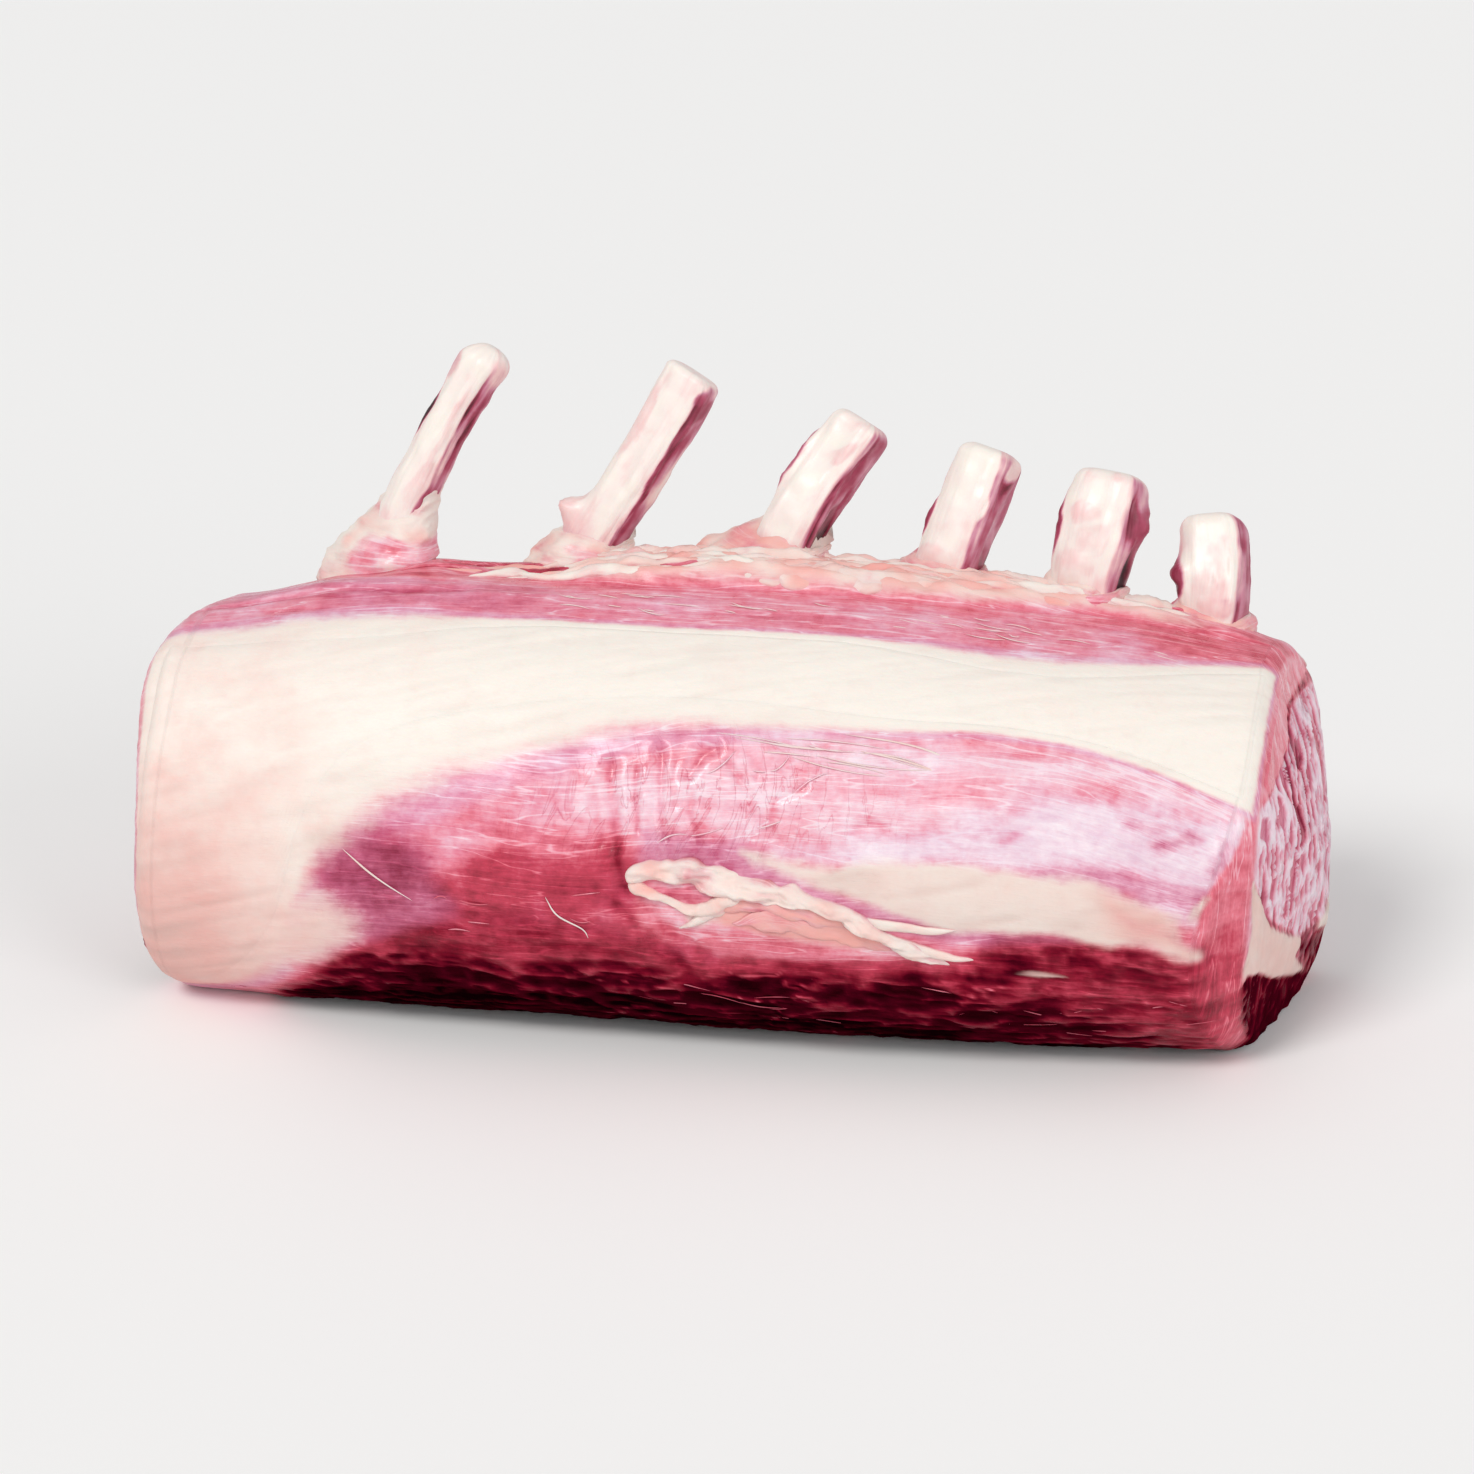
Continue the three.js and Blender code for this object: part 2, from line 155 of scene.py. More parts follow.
def tube(rings, fields, grain):
    # rings is rows x sides x 3. Quads join the rows, the sides close on themselves and a fan closes each end.
    # fields are rows x sides values, and grain is rows x (sides + 1) x 2, the surface coordinates in cm.
    rows, sides = rings.shape[:2]
    index = np.arange(rows * sides).reshape(rows, sides)
    after = np.roll(index, -1, axis=1)
    quads = np.stack([index[:-1], after[:-1], after[1:], index[1:]], -1).reshape(-1, 4)
    quadGrain = np.stack([grain[:-1, :-1], grain[:-1, 1:], grain[1:, 1:], grain[1:, :-1]], 2).reshape(-1, 4, 2)
    fans, fanGrain = [], []
    for row, pole, turn in ((0, rows * sides, -1), (rows - 1, rows * sides + 1, 1)):
        fan = np.stack([np.full(sides, pole), index[row], after[row]], -1)
        corner = np.stack([(grain[row, :-1] + grain[row, 1:]) / 2, grain[row, :-1], grain[row, 1:]], 1)
        fans.append(fan[:, ::turn])
        fanGrain.append(corner[:, ::turn])
    fans = np.concatenate(fans)
    points = np.concatenate([rings.reshape(-1, 3), rings[[0, -1]].mean(axis=1)])
    values = {}
    for name, field in fields.items():
        field = np.broadcast_to(field, (rows, sides))
        values[name] = np.concatenate([field.ravel(), field[[0, -1]].mean(axis=1)])
    triangles = np.concatenate([quads[:, [0, 1, 2]], quads[:, [0, 2, 3]], fans])
    a, b, c = (points[triangles[:, k]] for k in range(3))
    # the sign of the volume says which way the faces point
    turn = 1 if (np.cross(a, b) * c).sum() > 0 else -1
    return {
        "points": points, "values": values,
        "quads": quads[:, ::turn], "quadGrain": quadGrain[:, ::turn],
        "fans": fans[:, ::turn], "fanGrain": np.concatenate(fanGrain)[:, ::turn],
    }


def makePiece(name, tubes, material, nodes=()):
    first = np.cumsum([0] + [len(part["points"]) for part in tubes])
    quads = np.concatenate([part["quads"] + k for part, k in zip(tubes, first)])
    fans = np.concatenate([part["fans"] + k for part, k in zip(tubes, first)])
    points = np.concatenate([part["points"] for part in tubes]) * mm
    corners = np.concatenate([quads.ravel(), fans.ravel()])
    grain = np.concatenate(
        [part[key].reshape(-1, 2) for key in ("quadGrain", "fanGrain") for part in tubes]
    )
    counts = np.concatenate([np.full(len(quads), 4), np.full(len(fans), 3)])
    mesh = bpy.data.meshes.new(name)
    mesh.vertices.add(len(points))
    mesh.vertices.foreach_set("co", points.astype(np.float32).ravel())
    mesh.loops.add(len(corners))
    mesh.loops.foreach_set("vertex_index", corners.astype(np.int32))
    mesh.polygons.add(len(counts))
    mesh.polygons.foreach_set("loop_start", (np.cumsum(counts) - counts).astype(np.int32))
    mesh.update(calc_edges=True)
    mesh.uv_layers.new(name="grain").uv.foreach_set("vector", grain.astype(np.float32).ravel())
    for field in tubes[0]["values"]:
        values = np.concatenate([part["values"][field] for part in tubes])
        mesh.attributes.new(field, "FLOAT", "POINT").data.foreach_set("value", values.astype(np.float32))
    mesh.polygons.foreach_set("use_smooth", np.ones(len(counts), bool))
    mesh.validate()
    mesh.materials.append(material)
    piece = bpy.data.objects.new(name, mesh)
    bpy.context.scene.collection.objects.link(piece)
    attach(piece, "root")
    if nodes:
        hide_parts(*nodes)
    print("made", name, len(quads) * 2 + len(fans), "triangles")


def normalsOf(grid):
    # the cross product of the steps along and across the grid, all turned the same way, outwards
    across = np.roll(grid, -1, axis=1) - np.roll(grid, 1, axis=1)
    along = np.gradient(grid, axis=0)
    normal = np.cross(along, across)
    normal /= np.maximum(np.linalg.norm(normal, axis=-1, keepdims=True), 1e-9)
    outwards = (normal * (grid - grid.mean(axis=(0, 1)))).sum()
    return normal * np.sign(outwards)


# materials

def addNode(tree, kind, inputs=None, **settings):
    node = tree.nodes.new(kind)
    for key, value in settings.items():
        setattr(node, key, value)
    for key, value in (inputs or {}).items():
        if isinstance(value, bpy.types.NodeSocket):
            tree.links.new(value, node.inputs[key])
        else:
            node.inputs[key].default_value = value
    return node


def mathNode(tree, operation, a, b=0.0):
    return addNode(tree, "ShaderNodeMath", {0: a, 1: b}, operation=operation).outputs[0]


def plus(tree, *values):
    total = values[0]
    for value in values[1:]:
        total = mathNode(tree, "ADD", total, value)
    return total


def times(tree, *values):
    product = values[0]
    for value in values[1:]:
        product = mathNode(tree, "MULTIPLY", product, value)
    return product


def minus(tree, a, b):
    return mathNode(tree, "SUBTRACT", a, b)


def rangeNode(tree, value, low, high, toLow=0.0, toHigh=1.0):
    node = addNode(
        tree, "ShaderNodeMapRange",
        {"Value": value, "From Min": low, "From Max": high, "To Min": toLow, "To Max": toHigh},
        interpolation_type="SMOOTHSTEP",
    )
    return node.outputs[0]


def mixColour(tree, share, a, b):
    node = addNode(tree, "ShaderNodeMix", data_type="RGBA")
    for socket, value in ((0, share), (6, a), (7, b)):
        if isinstance(value, bpy.types.NodeSocket):
            tree.links.new(value, node.inputs[socket])
        else:
            node.inputs[socket].default_value = value if socket == 0 else (*value, 1)
    return node.outputs[2]


def noiseNode(tree, vector, scale, detail=3.0, roughness=0.5, stretch=(1, 1, 1), distortion=0.0):
    mapping = addNode(tree, "ShaderNodeMapping", {"Vector": vector, "Scale": stretch})
    return addNode(tree, "ShaderNodeTexNoise", {
        "Vector": mapping.outputs[0], "Scale": scale, "Detail": detail, "Roughness": roughness,
        "Distortion": distortion,
    }).outputs["Fac"]


def rampNode(tree, value, stops):
    node = addNode(tree, "ShaderNodeValToRGB", {0: value})
    elements = node.color_ramp.elements
    while len(elements) < len(stops):
        elements.new(0.5)
    for element, (place, colour) in zip(elements, stops):
        element.position = place
        element.color = (*colour, 1)
    return node.outputs[0]


def fieldNode(tree, name):
    return addNode(tree, "ShaderNodeAttribute", attribute_name=name).outputs["Fac"]


fleshLook = {
    "meat": [(0.0, (0.005, 0.0003, 0.001)), (0.2, (0.06, 0.001, 0.007)), (0.38, (0.24, 0.006, 0.024)),
             (0.55, (0.54, 0.036, 0.08)), (0.7, (0.78, 0.17, 0.235)), (0.85, (0.86, 0.4, 0.48)),
             (1.0, (0.9, 0.66, 0.71))],
    "mauve": [(0.0, (0.02, 0.001, 0.006)), (0.3, (0.22, 0.012, 0.045)), (0.55, (0.52, 0.085, 0.19)),
              (0.75, (0.72, 0.27, 0.41)), (1.0, (0.85, 0.66, 0.78))],
    "veil": (0.9, 0.8, 0.85), "veilShade": (0.72, 0.47, 0.6),
    "cream": (0.875, 0.815, 0.75), "pinkFat": (0.86, 0.41, 0.37), "mottledShadedFat": (0.6, 0.39, 0.35),
    "streakLength": 0.8, "streakWidth": 8.0, "wrinkleLength": 0.75, "wrinkleWidth": 3.2,
    "blotches": 110.0, "mottle": 420.0, "specks": 900.0,  # how many in a metre
    "uneven": {"fibres": 0.26, "blotches": 0.3, "threads": 0.16, "mottle": 0.26},
    "paleLines": 0.16, "foldDark": 0.16, "foldBare": 0.3, "foldDepth": 0.6,
    "relief": {"fibres": 0.4, "threads": 0.35, "mottle": 0.5, "specks": 0.15},
    "roughness": (0.26, 0.5), "bump": 0.45, "bumpDepth": 0.0004,
    "subsurface": 0.1, "subsurfaceRadius": (1.0, 0.35, 0.25), "subsurfaceDepth": 0.0016,
    "coat": 0.4, "coatRoughness": 0.16, "gloss": 0.45, "fatDull": 0.2, "fatGloss": 0.24, "fatCoat": 0.05,
}


def centred(tree, value, strength):
    return times(tree, minus(tree, value, 0.5), strength)


def raggedNode(tree, field, uneven, amount):
    # the field plus noise that is strongest where the field is a half, and nothing where it is 0 or 1
    part = times(tree, field, minus(tree, 1.0, field))
    return plus(tree, field, times(tree, part, uneven, amount * 4))


def lineNode(tree, value):
    # 1 on thin lines where the noise passes through a half, 0 away from them
    away = mathNode(tree, "ABSOLUTE", minus(tree, value, 0.5))
    return rangeNode(tree, away, 0.0, 0.022, 1.0, 0.0)


def newMaterial(name):
    # a material's tree and shader, and the coordinates that its patterns read
    material = bpy.data.materials.new(name)
    material.use_nodes = True
    tree = material.node_tree
    grain = addNode(tree, "ShaderNodeUVMap", uv_map="grain").outputs[0]
    place = addNode(tree, "ShaderNodeTexCoord").outputs["Object"]
    return material, tree, tree.nodes["Principled BSDF"], grain, place


def finishSurface(tree, shader, look, height):
    # the bump, and what is the same all over
    bump = addNode(tree, "ShaderNodeBump", {
        "Height": height, "Strength": look["bump"], "Distance": look["bumpDepth"],
    })
    tree.links.new(bump.outputs[0], shader.inputs["Normal"])
    shader.inputs["Subsurface Weight"].default_value = look["subsurface"]
    shader.inputs["Subsurface Radius"].default_value = look["subsurfaceRadius"]
    shader.inputs["Subsurface Scale"].default_value = look["subsurfaceDepth"]
    shader.inputs["Coat Roughness"].default_value = look["coatRoughness"]


def makeFleshMaterial(name, look):
    # tone runs from dark to pale, mauve turns the red to violet, veil and fat cover it, blush pinks the fat,
    # and wrinkle lets in fine folds across the fibres
    material, tree, shader, grain, place = newMaterial(name)
    long, wide = look["streakLength"], look["streakWidth"]
    noises = {
        "fibres": noiseNode(tree, grain, 1.0, 4.0, 0.6, (long, wide, 1), 1.2),
        "threads": noiseNode(tree, grain, 1.0, 3.0, 0.6, (long * 4, wide * 3, 1), 1.6),
        "blotches": noiseNode(tree, place, look["blotches"], 4.0, 0.6),
        "mottle": noiseNode(tree, place, look["mottle"], 3.0, 0.6),
        "specks": noiseNode(tree, place, look["specks"], 2.0, 0.5),
    }
    creased = noiseNode(tree, grain, 1.0, 3.0, 0.55, (look["wrinkleWidth"], look["wrinkleLength"], 1), 0.8)
    pale = lineNode(tree, noiseNode(tree, grain, 1.0, 2.0, 0.5, (0.35, wide * 0.6, 1), 0.6))
    tone, fat, veil, blush, mauve = (fieldNode(tree, key) for key in ("tone", "fat", "veil", "blush", "mauve"))
    folds = times(tree, lineNode(tree, creased), fieldNode(tree, "wrinkle"))

    # red or mauve meat by its tone, streaked and mottled, less so where it is dark
    uneven = plus(tree, *(centred(tree, noises[key], amount) for key, amount in look["uneven"].items()))
    uneven = times(tree, uneven, rangeNode(tree, tone, 0.1, 0.5, 0.45, 1.0))
    lines = times(tree, pale, look["paleLines"], rangeNode(tree, tone, 0.15, 0.7))
    level = plus(tree, tone, plus(tree, uneven, lines))
    # painted shade darkens the fine folds
    level = minus(tree, level, times(tree, folds, look["foldDark"], tone))
    hue = rangeNode(tree, plus(tree, mauve, centred(tree, noises["blotches"], 0.7)), 0.1, 0.9)
    meat = mixColour(tree, hue, rampNode(tree, level, look["meat"]), rampNode(tree, level, look["mauve"]))

    # the pale veil over it, open along the folds
    film = rangeNode(tree, raggedNode(tree, veil, uneven, 1.5), 0.0, 1.0)
    film = times(tree, film, minus(tree, 1.0, times(tree, folds, look["foldBare"])))
    veilColour = mixColour(tree, rangeNode(tree, uneven, -0.16, 0.2), look["veilShade"], look["veil"])
    meat = mixColour(tree, film, meat, veilColour)

    # the fat on top, drawn towards a darker pink by its mottle and where the tone is low: partly thin fat over
    # dark meat, partly painted shade
    pink = rangeNode(tree, plus(tree, blush, centred(tree, noises["blotches"], 0.6)), 0.0, 1.0)
    fatColour = mixColour(tree, pink, look["cream"], look["pinkFat"])
    mottled = rangeNode(tree, noises["mottle"], 0.5, 0.75, 0.0, 0.06)
    mottleAndShade = plus(tree, mottled, rangeNode(tree, tone, 0.95, 0.2))
    fatColour = mixColour(tree, mottleAndShade, fatColour, look["mottledShadedFat"])
    cover = rangeNode(tree, raggedNode(tree, fat, uneven, 1.1), 0.08, 0.92)
    tree.links.new(mixColour(tree, cover, meat, fatColour), shader.inputs["Base Color"])

    # the dark meat keeps little of the shine, and the fat is duller than the meat
    wet = rangeNode(tree, mathNode(tree, "MAXIMUM", tone, fat), 0.25, 0.7)
    low, high = look["roughness"]
    rough = rangeNode(tree, noises["blotches"], 0.3, 0.7, low, high)
    tree.links.new(plus(tree, rough, times(tree, cover, look["fatDull"])), shader.inputs["Roughness"])
    shines = {"Specular IOR Level": ("gloss", "fatGloss"), "Coat Weight": ("coat", "fatCoat")}
    for socket, (onMeat, onFat) in shines.items():
        amount = rangeNode(tree, cover, 0.2, 1.0, look[onMeat], look[onFat])
        tree.links.new(times(tree, wet, amount), shader.inputs[socket])
    height = plus(tree, *(times(tree, noises[key], amount) for key, amount in look["relief"].items()))
    finishSurface(tree, shader, look, minus(tree, height, times(tree, folds, look["foldDepth"])))
    return material


boneLook = {
    "stops": [(0.0, (0.9, 0.84, 0.77)), (0.16, (0.89, 0.79, 0.745)), (0.34, (0.85, 0.57, 0.56)),
              (0.55, (0.6, 0.24, 0.33)), (0.74, (0.4, 0.05, 0.11)), (0.88, (0.2, 0.01, 0.035)),
              (1.0, (0.03, 0.002, 0.007))],
    "streaks": 0.26, "blotches": 0.4, "roughness": (0.34, 0.55), "bump": 0.5, "bumpDepth": 0.0004,
    "subsurface": 0.1, "subsurfaceRadius": (1.0, 0.5, 0.35), "subsurfaceDepth": 0.0012,
    "coat": 0.15, "coatRoughness": 0.2,
}


def makeBoneMaterial(name, look):
    # stain runs from clean bone through pink and mauve to blood, in streaks along the bone
    material, tree, shader, grain, place = newMaterial(name)
    streaks = noiseNode(tree, grain, 1.0, 4.0, 0.6, (0.9, 7.0, 1))
    blotches = noiseNode(tree, place, 160.0, 3.0, 0.6)
    stain = plus(tree, fieldNode(tree, "stain"), centred(tree, streaks, look["streaks"]),
                 centred(tree, blotches, look["blotches"]))
    tree.links.new(rampNode(tree, stain, look["stops"]), shader.inputs["Base Color"])
    low, high = look["roughness"]
    tree.links.new(rangeNode(tree, blotches, 0.3, 0.7, low, high), shader.inputs["Roughness"])
    finishSurface(tree, shader, look, streaks)
    shader.inputs["Coat Weight"].default_value = look["coat"]
    return material


meatMaterial = makeFleshMaterial("raw meat", fleshLook)
fatMaterial = makeFleshMaterial("lamb fat", fleshLook | {"bump": 0.4})
boneMaterial = makeBoneMaterial("scraped bone", boneLook)
print("materials made")

# the loin's form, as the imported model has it

form = {
    "height": 70.0, "front": 36.0, "back": 27.0, "leftEnd": -99.0, "rightEnd": 87.0,
    "endLean": 0.04, "cutTurn": 0.26, "cutTurnLoss": 0.11,
    "leftTaper": 0.09, "rightTaper": 0.09, "depthTaper": 0.12,
    "leftRound": 7.5, "rightRound": 3.0, "bevelRound": 6.0, "bevelAround": 0.24, "endDome": 1.5, "girth": 230.0,
    "middle": (-4.0, 35.0),
    "section": [
        (0.05, -0.04), (-0.47, -0.006), (-0.85, 0.13), (-1.0, 0.38), (-0.88, 0.66), (-0.52, 0.88),
        (-0.04, 0.985), (0.52, 1.0), (0.86, 0.9), (0.84, 0.6), (0.98, 0.28), (0.9, 0.02),
    ],
}
girth = form["girth"]


def sectionPoint(around):
    # Catmull-Rom curve through the section's points, closed; around runs from 0 to 1
    shares = np.array(form["section"])
    front, back = (form["front"], form["height"]), (form["back"], form["height"])
    points = shares * np.where(shares[:, :1] < 0, [front], [back])
    k = (np.asarray(around, float) % 1) * len(points)
    i = np.floor(k).astype(int)
    return catmullRom(points, i - 1, (k - i)[..., None])


def lengthwise(along, y, z):
    # x of a point of the section: the cuts slant with depth and lean with height
    front = -form["front"] * np.sqrt(np.maximum(0.12, 1 - (np.abs(z / form["height"] - 0.4) / 0.62) ** 2.4))
    turn = form["cutTurn"] - form["cutTurnLoss"] * z / form["height"]
    return mix(form["leftEnd"], form["rightEnd"], along) + turn * (y - front) + form["endLean"] * z


def depthShare(x):
    return 1 - form["depthTaper"] * (x / form["rightEnd"]) ** 2


def skinPoint(along, around, inset=0.0, outward=0.0):
    # the section shrunk by inset towards its middle, then scaled down towards both ends
    yz = sectionPoint(around)
    away = yz - np.array(form["middle"])
    reach = np.linalg.norm(away, axis=-1, keepdims=True)
    yz = np.array(form["middle"]) + away * (1 - np.asarray(inset)[..., None] / reach)
    y, z = yz[..., 0], yz[..., 1]
    x = lengthwise(along, y, z) + outward
    toLeft = form["leftTaper"] * (x / form["leftEnd"]) ** 4
    toRight = form["rightTaper"] * (x / form["rightEnd"]) ** 2
    taper = np.where(x < 0, toLeft, toRight)
    return joined(x, y * depthShare(x), np.maximum(0, z * (1 - taper)))


def onSkin(x, around, lift=0.0):
    # the skin's point at x, lift mm out from it
    x, around, lift = np.broadcast_arrays(np.asarray(x, float), around, lift)
    length = form["rightEnd"] - form["leftEnd"]
    along = (x - form["leftEnd"]) / length
    for step in range(4):
        along = along + (x - skinPoint(along, around)[..., 0]) / length
    return skinPoint(along, around, -lift)


def rimRound(side, around):
    bevel = form["bevelRound"] * np.exp(-(((around - form["bevelAround"]) / 0.09) ** 2))
    return np.where(side < 0, form["leftRound"], form["rightRound"] + bevel)


def bodyGrid(rows, around):
    # rows hold (side, share of the body's length, turn of the rim, share of the way to a cut face's middle)
    side, length, turn, share = (rows[:, None, k] for k in range(4))
    around = np.atleast_2d(around)
    span = form["rightEnd"] - form["leftEnd"]
    first = rimRound(-1, around) / span
    last = 1 - rimRound(1, around) / span
    along = np.where(side == 0, mix(first, last, length), side > 0)
    rim = rimRound(side, around)
    inset = np.where(side == 0, 0, rim * (1 - np.cos(turn)))
    outward = side * rim * (np.sin(turn) - 1)
    # the bevel's round is pressed flat, towards the chord between its two ends
    flat = np.where(side > 0, 0.8 * np.exp(-(((around - form["bevelAround"]) / 0.08) ** 2)), 0)
    flat = flat * (1 - np.cos(4 * turn)) / 2
    chord = turn / (np.pi / 2)
    inset = mix(inset, rim * chord, flat)
    outward = mix(outward, rim * (chord - 1), flat)
    points = skinPoint(along, around, inset, outward)
    points[..., 0] += side * form["endDome"] * share * (1 - share)
    y, z = form["middle"]
    middle = joined(lengthwise(along, y, z) + side * form["endDome"], y, z)
    return mix(points, middle, share[..., None]), inset + 0 * around


def bodyShares(count):
    # closer together across the wrinkles in the middle of the front
    fine = np.linspace(0, 1, 1001)
    weight = 1 + 0.9 * smooth(0.36, 0.44, fine) * smooth(0.72, 0.64, fine)
    return closerWhere(fine, weight, np.linspace(0, 1, count))


def rowTable(faceLeft, rimLeft, body, rimRight, faceRight):
    half = np.pi / 2
    parts = []
    if faceLeft:
        parts.append([(-1, 0, half, s) for s in np.linspace(0.97, 0, faceLeft, endpoint=False)])
    if rimLeft:
        parts.append([(-1, 0, t, 0) for t in np.linspace(half, 0, rimLeft, endpoint=False)])
    parts.append([(0, s, 0, 0) for s in bodyShares(body)])
    if rimRight:
        parts.append([(1, 1, t, 0) for t in np.linspace(0, half, rimRight + 1)[1:]])
    if faceRight:
        parts.append([(1, 1, half, s) for s in np.linspace(0, 0.985, faceRight + 1)[1:]])
    return np.concatenate([np.array(part, float) for part in parts])


# the ribs

# marks are (place from root 0 to tip 1, degrees round from the right side, reach along and round in mm,
# stain, rise in mm)
ribKeys = ("foot", "exit", "exitZ", "tip", "tipZ", "width", "thick", "squareness", "bow", "waist",
          "tipRound", "side", "marks")
ribs = [dict(zip(ribKeys, row)) for row in [
    (-76, -61, 70, -43.8, 104.6, 8.8, 8, 2.3, 0.9, 0.8, 4.0, 36, [
        (0.68, -148, 4.5, 1.1, 1.0, 0.25), (0.9, 20, 4, 4, 0.35, 0.3), (0.2, -25, 6, 2, 0.76, 0.0),
        (0.5, -90, 12, 2.2, 0.06, 0.25), (0.6, -60, 9, 1.0, 0.24, 0.1), (0.92, -150, 3, 3, 0.36, 0.2),
        (0.35, -60, 5, 2, 0.25, 0.3)]),
    (-43, -26.0, 72, -9, 101.5, 9.6, 8, 3.2, -1.0, 0.6, 1.3, 40, [
        (0.9, -22, 2.2, 1.8, 0.7, 0.3), (0.8, -8, 2.6, 1.8, 0.76, 0.2), (0.98, -60, 2.5, 5, 0.2, 0.0),
        (0.2, -160, 2.4, 1.8, 0.3, 2.8), (0.5, -78, 13, 2.2, 0.16, 0.1), (0.75, -120, 8, 2, 0.3, 0.2),
        (0.45, -20, 8, 1.0, 0.85, 0.0), (0.3, -75, 8, 1.4, 0.04, 0.4)]),
    (-9, 7.5, 73, 20.3, 94.2, 10.3, 8.4, 3.4, 0.3, 0.0, 2.2, 50, [
        (0.72, -146, 4, 1.3, 0.72, 0.8), (0.88, -150, 2, 1.3, 0.68, 0.5), (0.55, -150, 2, 1.2, 0.7, 0.6),
        (0.34, -100, 3.6, 2.6, 0.13, 0.45), (0.55, -95, 3, 2.2, 0.05, 0.4), (0.6, -12, 7, 1.3, 0.78, -0.5),
        (0.85, 8, 3, 2, 0.7, 0.0), (0.8, -70, 2.4, 1.6, 0.28, 0.3)]),
    (22, 35.3, 71, 42.1, 90.2, 10.4, 8.4, 3.4, -0.3, -0.4, 2.6, 60, [
        (0.45, -150, 3.6, 1.4, 0.8, 0.8), (0.6, -6, 9, 3.4, 0.6, 0.0), (0.75, -14, 3.4, 1.3, 0.86, -0.5),
        (0.5, -20, 5, 1.2, 0.7, 0.0), (0.16, -110, 2.4, 3.6, 0.3, 0.6), (0.6, -60, 2.4, 1.6, 0.2, 0.3),
        (0.85, 0, 2, 2, 0.3, 0.3)]),
    (51, 59, 69, 62.8, 86.9, 11.9, 8.8, 3.2, 0.0, -0.8, 2.8, 50, [
        (0.55, -148, 4.8, 1.5, 0.82, 0.9), (0.68, -18, 3.6, 1.4, 0.85, -0.6), (0.56, 2, 3.4, 2, 0.74, 1.4),
        (0.25, -105, 3, 3, 0.26, 0.7), (0.5, -80, 3, 2, 0.26, 0.4), (0.72, -100, 2, 2, 0.3, 0.3)]),
    (77, 80.5, 65, 79.4, 80.2, 10.1, 8.6, 2.8, -0.6, -1.0, 3.0, 44, [
        (0.42, -150, 3.2, 1.9, 0.84, 2.2), (0.5, -20, 4, 1.4, 0.45, 0.0), (0.4, -90, 3, 2.4, 0.28, 0.5),
        (0.2, -70, 2, 3, 0.34, 0.6), (0.55, -50, 4, 1.0, 0.05, 0.4)]),
]]
ribValues = {
    "turn": 20.0, "rows": 150, "sides": 84, "tipDepth": 25.0,
    "run": [(0, 21.0, 6), (0.17, 22.7, 20), (0.5, 19.4, 43), (1, 18, 70)],  # share of the way up, depth, height
    "lumps": 0.45, "scrapes": 0.28, "grit": 0.14, "sideGroove": 0.5,
    "stain": 0.28, "patchStain": 0.22, "sideStain": 0.32, "sideStreak": 0.55, "frontClean": 0.18,
    "rootStain": 0.16, "fineStain": 0.08,
}

# where the fat, silverskin and reds lie: (x, place round the section) on the skin, (y, z) on the cuts;
# a patch is (the fields it sets, the width of its soft edge in mm, its outline)

fatUpper = [(-99, 0.455), (-40, 0.468), (30, 0.468), (60, 0.466), (95, 0.51)]
fatLower = [
    (-99, 0.11), (-84, 0.13), (-71, 0.19), (-66, 0.25), (-58, 0.3), (-39, 0.343), (-10, 0.378), (25, 0.387),
    (60, 0.389), (95, 0.35)]
fatFeatherUpper = [(-99, 3.0), (-60, 4.0), (-35, 1.6), (20, 1.2), (50, 3.0), (80, 2.0)]
fatFeatherLower = [(-99, 2.0), (-72, 7), (-64, 10.5), (-50, 9.5), (-20, 5.5), (10, 3.2), (40, 1.4), (90, 1.3)]

skinBase = {"tone": 0.72, "fat": 0, "veil": 0, "blush": 0.04, "fibre": 0, "mauve": 0.3, "wrinkle": 0}
cutBase = {"tone": 0.5, "fat": 0, "veil": 0.1, "blush": 0.1, "fibre": 0.5, "mauve": 0.3, "wrinkle": 0}
leftCut = {"darker": 0.12, "lessVeil": 0.5}
fatEnds = {"overRight": 1.5, "overLeft": 3.0}  # how far the fat reaches round each rim, in mm
# the back under its membrane: (base, more where the membrane is pale, partly its own colour and partly painted
# sheen, more over a bone)
backLook = {"tone": (0.54, 0.1, 0.24), "veil": (0.14, 0.24, 0.16), "mauve": (0.25, 0.35, 0.0)}

